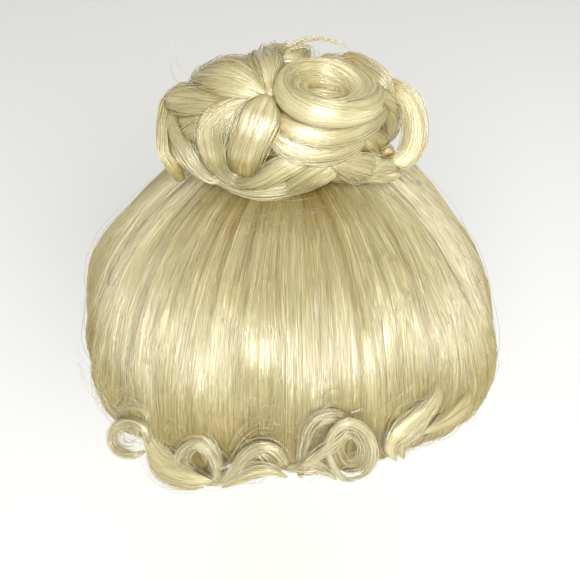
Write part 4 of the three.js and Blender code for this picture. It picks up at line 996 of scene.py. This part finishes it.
# the inner end of the coil, a light tongue that lies across the eye
rows = np.array([(-10.2, 0.6, -1.6, 2.6, 1.4), (-7.5, -1.5, 0.2, 4.6, 2.2), (-3.5, -2.4, 0.7, 5.6, 2.6), (1.0, -2.2, 0.7, 5.2, 2.4), (4.8, -0.9, 0.2, 3.8, 1.8), (7.2, 0.9, -1.4, 2.2, 1.2)])
rows[:, :3] = rows[:, :3] @ TILT.T + ROSE_CENTRE
lock = Lock(rows, lambda p: np.broadcast_to(TILT[:, 2], p.shape))
emit_body("rose_eye_core", lock_body(lock, cols=18, rows=24, seed=900, ridge_height=0.15))
emit_strands("rose_eye_strands", [bundle(lock, 60, 901, radius=(0.09, 0.15), loose=0.3)])

# ---------------------------------------------------------------- the wound mass under the locks
rows, cols = 36, 80
v = np.linspace(0.05, np.pi - 0.05, rows)[:, None]; h = np.linspace(0, 2 * np.pi, cols, endpoint=False)[None]
bump = 1 + 0.02 * Noise2(20, 10, 3)(h / (2 * np.pi), v / np.pi)
V = np.stack([np.sin(v) * np.cos(h) * bump, np.sin(v) * np.sin(h) * bump, np.cos(v) * bump + 0 * h], -1) * CORE_RADII * 0.975 + CORE_CENTRE
i, k = np.meshgrid(np.arange(rows - 1), np.arange(cols), indexing="ij"); k2 = (k + 1) % cols
q = np.stack([i * cols + k, (i + 1) * cols + k, (i + 1) * cols + k2, i * cols + k2], -1).reshape(-1, 4)
verts = np.concatenate([V.reshape(-1, 3), [CORE_CENTRE + [0, 0, CORE_RADII[2] * 0.975], CORE_CENTRE - [0, 0, CORE_RADII[2] * 0.975]]])
kk = np.arange(cols); s_, e_ = len(verts) - 2, len(verts) - 1
tr = np.concatenate([np.stack([np.full(cols, s_), kk, (kk + 1) % cols], -1), np.stack([np.full(cols, e_), (rows - 1) * cols + (kk + 1) % cols, (rows - 1) * cols + kk], -1)])
uv = np.concatenate([np.stack([np.broadcast_to(v / np.pi, (rows, cols)), np.broadcast_to(h / (2 * np.pi), (rows, cols))], -1).reshape(-1, 2), [[0, 0.5], [1, 0.5]]])
# Painted shade on the front of the inner mass, where it shows in the gaps between the locks.
inner_painted_shade = lambda p: 0.85 * smooth((24 - p[..., 1]) / 14)
emit_body("bun_inner", (verts, q, tr, uv, np.full(len(verts), 0.5)), "bun_core", mat=CORE_MAT, painted_shadow=inner_painted_shade(verts))
r = np.random.default_rng(91)
S, m = 220, 10
x = np.linspace(0, 1, m)[None]
vv = r.uniform(0.5, 2.6, S)[:, None] + r.normal(0, 0.25, S)[:, None] * (x - 0.5)
hh = r.uniform(0, 2 * np.pi, S)[:, None] + r.uniform(0.5, 1.2, S)[:, None] * (x - 0.5)
d = np.stack([np.sin(vv) * np.cos(hh), np.sin(vv) * np.sin(hh), np.cos(vv)], -1)
p = d * CORE_RADII * (0.985 + 0.03 * r.uniform(0, 1, S))[:, None, None] + CORE_CENTRE
# the strands on the inner mass carry painted shade throughout
emit_strands("bun_inner_strands", [(p, unit(d / CORE_RADII), r.uniform(0.12, 0.2, S)[:, None] * taper(m, 0.1)[None], np.clip(r.normal(0.45, 0.15, S), 0, 1), x.repeat(S, 0))], shade=lambda p, x=None: np.full(p.shape[:-1], 0.75))

loose_hairs("bun_loose_hairs", [BUN_WISPS[k] for k in BUN_WISPS if k[:4] == "net_"], radius=0.1, copies=4, spread=1.0, seed=5)
loose_hairs("bun_top_wisp", [BUN_WISPS["tuft_a"], BUN_WISPS["tuft_b"], BUN_WISPS["tuft_c"]], radius=0.14, copies=20, spread=1.0, seed=6, tone=0.45)
loose_hairs("bun_side_hairs", [BUN_WISPS["arc_left"], BUN_WISPS["arc_left2"], BUN_WISPS["ring_hair"]], radius=0.24, copies=1, seed=7, tone=0.3)

# ---------------------------------------------------------------- front curls
# Strands, packed middle (0 = none), veil strands inside the ring, how far the
# root sinks, tone, and how much painted shade deepens the colour.
CURL_STYLE = {
    "temple_small_curl": (90, 0.0, 30, 4, 0.6, 0.2), "temple_ring_curl": (150, 0.5, 20, 3, 0.66, 0.05), "temple_lock": (170, 0.85, 0, 5, 0.62, 0.15),
    "brow_curl_left": (100, 0.0, 44, 3, 0.66, 0.1), "brow_arch_curl": (130, 0.0, 56, 3, 0.68, 0.05), "brow_sweep_lock": (110, 0.45, 0, 2, 0.7, 0.05),
    "brow_swirl_curl": (85, 0.0, 30, 3, 0.6, 0.1), "brow_ring_curl": (110, 0.0, 40, 2, 0.64, 0.05), "right_ringlet": (160, 0.85, 0, 10, 0.66, 0.1),
    "right_hem_lock": (120, 0.9, 0, 10, 0.4, 0.5), "left_ring_full": (80, 0.0, 20, 0, 0.7, 0.1), "right_ring_full": (100, 0.0, 24, 0, 0.7, 0.05),
    "ring_crossing": (50, 0.0, 0, 0, 0.75, 0.0), "ringlet_twin": (90, 0.8, 0, 6, 0.55, 0.35), "temple_lower": (90, 0.8, 0, 4, 0.45, 0.6),
    "hem_fill_left": (120, 0.7, 0, 3, 0.6, 0.3), "hem_fill_mid": (70, 0.0, 0, 2, 0.75, 0.0), "temple_ring_full": (80, 0.0, 16, 0, 0.68, 0.05),
}
# How wide the strands spread over a curl's width; the twist is set where the strands are made.
SPREAD = {"temple_ring_curl": 0.62, "brow_arch_curl": 0.5, "temple_ring_full": 0.8, "brow_ring_curl": 0.42, "brow_curl_left": 0.5, "left_ring_full": 0.75, "right_ring_full": 0.75,
          "brow_swirl_curl": 0.75, "temple_small_curl": 0.55, "brow_sweep_lock": 0.7}
RINGS = ("temple_small_curl", "temple_ring_curl", "brow_curl_left", "brow_swirl_curl", "brow_ring_curl", "left_ring_full", "right_ring_full", "temple_ring_full", "brow_arch_curl")


def curl_strands(lock, count, seed, veil, tone, spread=0.95, twist=0.6):
    parts = [bundle(lock, int(count * 0.85), seed, shell=(0.0, spread), solid=True, twist=twist, fray=0.05, radius=(0.1, 0.17), m=16, wander=0.4, noise=0.15, loose=0.3, tone=tone, spread=0.22),
             bundle(lock, int(count * 0.15), seed + 9, shell=(spread, spread + 0.6), twist=0.5, fray=0.1, radius=(0.06, 0.1), m=16, wander=0.7, noise=0.4, loose=0.6, tone=tone + 0.1)]
    if veil:
        r = np.random.default_rng(seed + 3)
        m = 18
        centre = lock.p[4:-4].mean(0)
        x = np.linspace(0, 1, m)[None] * r.uniform(0.5, 1.0, veil)[:, None] + r.uniform(0, 0.3, veil)[:, None]
        x = np.clip(x, 0, 1)
        p, w, n, hw, ht = lock.at(x)
        s = r.uniform(0.35, 0.95, veil)[:, None, None]
        p = centre + (p - centre) * s - n * (r.uniform(0.5, 3.5, veil)[:, None, None]) * np.sin(np.pi * np.linspace(0, 1, m))[None, :, None] + 0.5 * r.normal(0, 1, (veil, 1, 3))
        parts.append((p, n, r.uniform(0.08, 0.14, veil)[:, None] * taper(m, 0.2)[None], np.clip(r.normal(tone, 0.2, veil), 0, 1), x))
    return parts


CURLS = [(name, turn, rows, name) for name, (turn, rows) in FRONT_CURLS.items()] + [(name, turn, rows, None) for name, (turn, rows) in MORE_CURLS.items()]
for name, turn, rows, node in CURLS:
    e, a = math.radians(30), math.radians(turn)
    d = np.array([math.sin(a) * math.cos(e), -math.cos(a) * math.cos(e), math.sin(e)])
    facing = lambda p, d=d: np.broadcast_to(d, p.shape)
    count, middle, veil, sink, tone, deep = CURL_STYLE[name]
    rows = np.array(rows, float)
    if name not in RINGS:
        rows[-1, 3:5] *= 0.3; rows[-2, 3:5] *= 0.72
        if name not in ("right_ringlet", "right_hem_lock"):
            rows[0, 3:5] *= 0.5
    lock = Lock(tucked(rows, facing, sink, 0), facing)
    seed += 7
    # painted shade for the curl, by its last column
    sh = lambda p, x=None, k=deep: np.full(p.shape[:-1], k)
    if middle:
        emit_body(name + "_core", lock_body(lock, cols=20, rows=32, seed=seed, scale=middle, ridge_height=0.12), node, shade=sh)
        node = None
    emit_strands(name + "_strands", curl_strands(lock, count, seed + 1, veil, tone, SPREAD.get(name, 0.95), 2.4 if name in ("right_ringlet", "ringlet_twin", "temple_lock") else 0.6), node, shade=sh, mat=CURL_STRAND)
loose_hairs("hem_loose_hairs", list(HEM_WISPS.values()), radius=0.12, copies=5, spread=1.2, seed=8)

# ---------------------------------------------------------------- cap
NET = bpy.data.materials.new("cap_net"); NET.use_nodes = True
nt = NET.node_tree
nb = nt.nodes["Principled BSDF"]
nb.inputs["Roughness"].default_value = 0.82
uvn = nt.nodes.new("ShaderNodeUVMap"); uvn.uv_map = "OFBake"
split = nt.nodes.new("ShaderNodeSeparateXYZ"); nt.links.new(uvn.outputs["UV"], split.inputs["Vector"])


def thread(socket, count):
    """0-1 height of woven threads across one direction of the UV map."""
    mul = nt.nodes.new("ShaderNodeMath"); mul.operation = "MULTIPLY"; mul.inputs[1].default_value = count
    nt.links.new(split.outputs[socket], mul.inputs[0])
    fold = nt.nodes.new("ShaderNodeMath"); fold.operation = "PINGPONG"; fold.inputs[1].default_value = 0.5
    nt.links.new(mul.outputs[0], fold.inputs[0])
    return fold.outputs[0]


top_ = nt.nodes.new("ShaderNodeMath"); top_.operation = "MAXIMUM"
nt.links.new(thread("X", 150), top_.inputs[0]); nt.links.new(thread("Y", 130), top_.inputs[1])
weave = nt.nodes.new("ShaderNodeMapRange")
weave.inputs["From Min"].default_value = 0.18; weave.inputs["From Max"].default_value = 0.42
nt.links.new(top_.outputs[0], weave.inputs["Value"])
band = nt.nodes.new("ShaderNodeMath"); band.operation = "GREATER_THAN"; band.inputs[1].default_value = 0.38
nt.links.new(thread("Y", 22), band.inputs[0])
inmix = nt.nodes.new("ShaderNodeMix"); inmix.data_type = "RGBA"
nt.links.new(weave.outputs["Result"], inmix.inputs["Factor"])
inmix.inputs["A"].default_value = srgb(132, 114, 72); inmix.inputs["B"].default_value = srgb(208, 194, 152)
wefts = nt.nodes.new("ShaderNodeMix"); wefts.data_type = "RGBA"
nt.links.new(band.outputs[0], wefts.inputs["Factor"])
nt.links.new(inmix.outputs["Result"], wefts.inputs["A"]); wefts.inputs["B"].default_value = srgb(188, 170, 112)
nt.links.new(wefts.outputs["Result"], nb.inputs["Base Color"])
nbump = nt.nodes.new("ShaderNodeBump"); nbump.inputs["Strength"].default_value = 0.6; nbump.inputs["Distance"].default_value = 0.0003
nt.links.new(top_.outputs[0], nbump.inputs["Height"]); nt.links.new(nbump.outputs["Normal"], nb.inputs["Normal"])
ring_f = np.linspace(0.02, 1, 30)
cc = 96
pc = np.linspace(0, 2 * np.pi, cc, endpoint=False)
cap_out = np.stack([head_ring(f, 2.0, pc) for f in ring_f])
weft = 0.35 * (np.sin(ring_f * 60) > 0.2)
cap_in = np.stack([head_ring(f, 0.15 - w, pc) for f, w in zip(ring_f, weft)])[::-1]
rr = np.concatenate([cap_out, cap_in])
nr = len(rr)
verts = np.concatenate([rr.reshape(-1, 3), [[0, 0, 2.0], [0, 0, 0.1]]])
i, k = np.meshgrid(np.arange(nr - 1), np.arange(cc), indexing="ij"); k2 = (k + 1) % cc
q = np.stack([i * cc + k, (i + 1) * cc + k, (i + 1) * cc + k2, i * cc + k2], -1).reshape(-1, 4)
kk = np.arange(cc); s, e = len(verts) - 2, len(verts) - 1
tr = np.concatenate([np.stack([np.full(cc, s), kk, (kk + 1) % cc], -1), np.stack([np.full(cc, e), (nr - 1) * cc + (kk + 1) % cc, (nr - 1) * cc + kk], -1)])
uv = np.concatenate([np.stack([np.broadcast_to(pc[None] / 6.2832, (nr, cc)), np.broadcast_to(np.linspace(0, 1, nr)[:, None], (nr, cc))], -1).reshape(-1, 2), [[0.5, 0], [0.5, 1]]])
cap = mesh_from("cap_foundation", verts, q, tr, uv)
cap.data.materials.append(NET)
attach(cap, "root"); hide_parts("wig_cap")

# ---------------------------------------------------------------- stage
def area(name, location, target, size, power, colour=(1, 1, 1)):
    light = bpy.data.lights.new(name, "AREA")
    light.shape = "RECTANGLE"; light.size, light.size_y = size
    light.energy = power; light.color = colour
    ob = bpy.data.objects.new(name, light)
    ob.location = location
    ob.rotation_euler = (Vector(target) - Vector(location)).to_track_quat("-Z", "Y").to_euler()
    bpy.context.scene.collection.objects.link(ob)
    return ob


area("key_softbox", (0.14, -1.23, 1.12), (0, 0, -0.02), (1.35, 0.86), 39)
area("top_fill", (0.0, 0.5, 1.7), (0, 0, 0), (1.2, 1.2), 7)
area("left_fill", (-1.5, -0.2, 0.6), (0, 0, 0), (0.8, 1.2), 0.3)
area("right_fill", (1.5, -0.2, 0.6), (0, 0, 0), (0.8, 1.2), 3)
world = bpy.data.worlds.new("studio"); bpy.context.scene.world = world
world.use_nodes = True
world.node_tree.nodes["Background"].inputs["Color"].default_value = (1.0, 0.985, 0.955, 1)
world.node_tree.nodes["Background"].inputs["Strength"].default_value = 0.4

FLOOR = bpy.data.materials.new("pale_floor"); FLOOR.use_nodes = True
fb = FLOOR.node_tree.nodes["Principled BSDF"]
fb.inputs["Base Color"].default_value = srgb(236, 236, 234); fb.inputs["Roughness"].default_value = 0.9
me = bpy.data.meshes.new("floor"); z = -0.36
me.from_pydata([(-6, -6, z), (6, -6, z), (6, 6, z), (-6, 6, z)], [], [(0, 1, 2, 3)])
me.update()
floor = bpy.data.objects.new("floor", me); me.materials.append(FLOOR)
bpy.context.scene.collection.objects.link(floor)

cam_data = bpy.data.cameras.new("camera")
cam_data.lens = 53.75; cam_data.sensor_width = 36.0; cam_data.clip_start = 0.01; cam_data.clip_end = 50
cam = bpy.data.objects.new("camera", cam_data)
tiltc = math.radians(50)
look = Vector((0, math.cos(tiltc), -math.sin(tiltc)))
up = Vector((0, math.sin(tiltc), math.cos(tiltc)))
eye = look * -0.4596 + up * -0.0201
cam.matrix_world = Matrix.Translation(eye) @ Matrix(((1, 0, 0), tuple(up), tuple(-look))).transposed().to_4x4()
bpy.context.scene.collection.objects.link(cam)
bpy.context.scene.camera = cam
bpy.context.scene.view_settings.view_transform = "Standard"
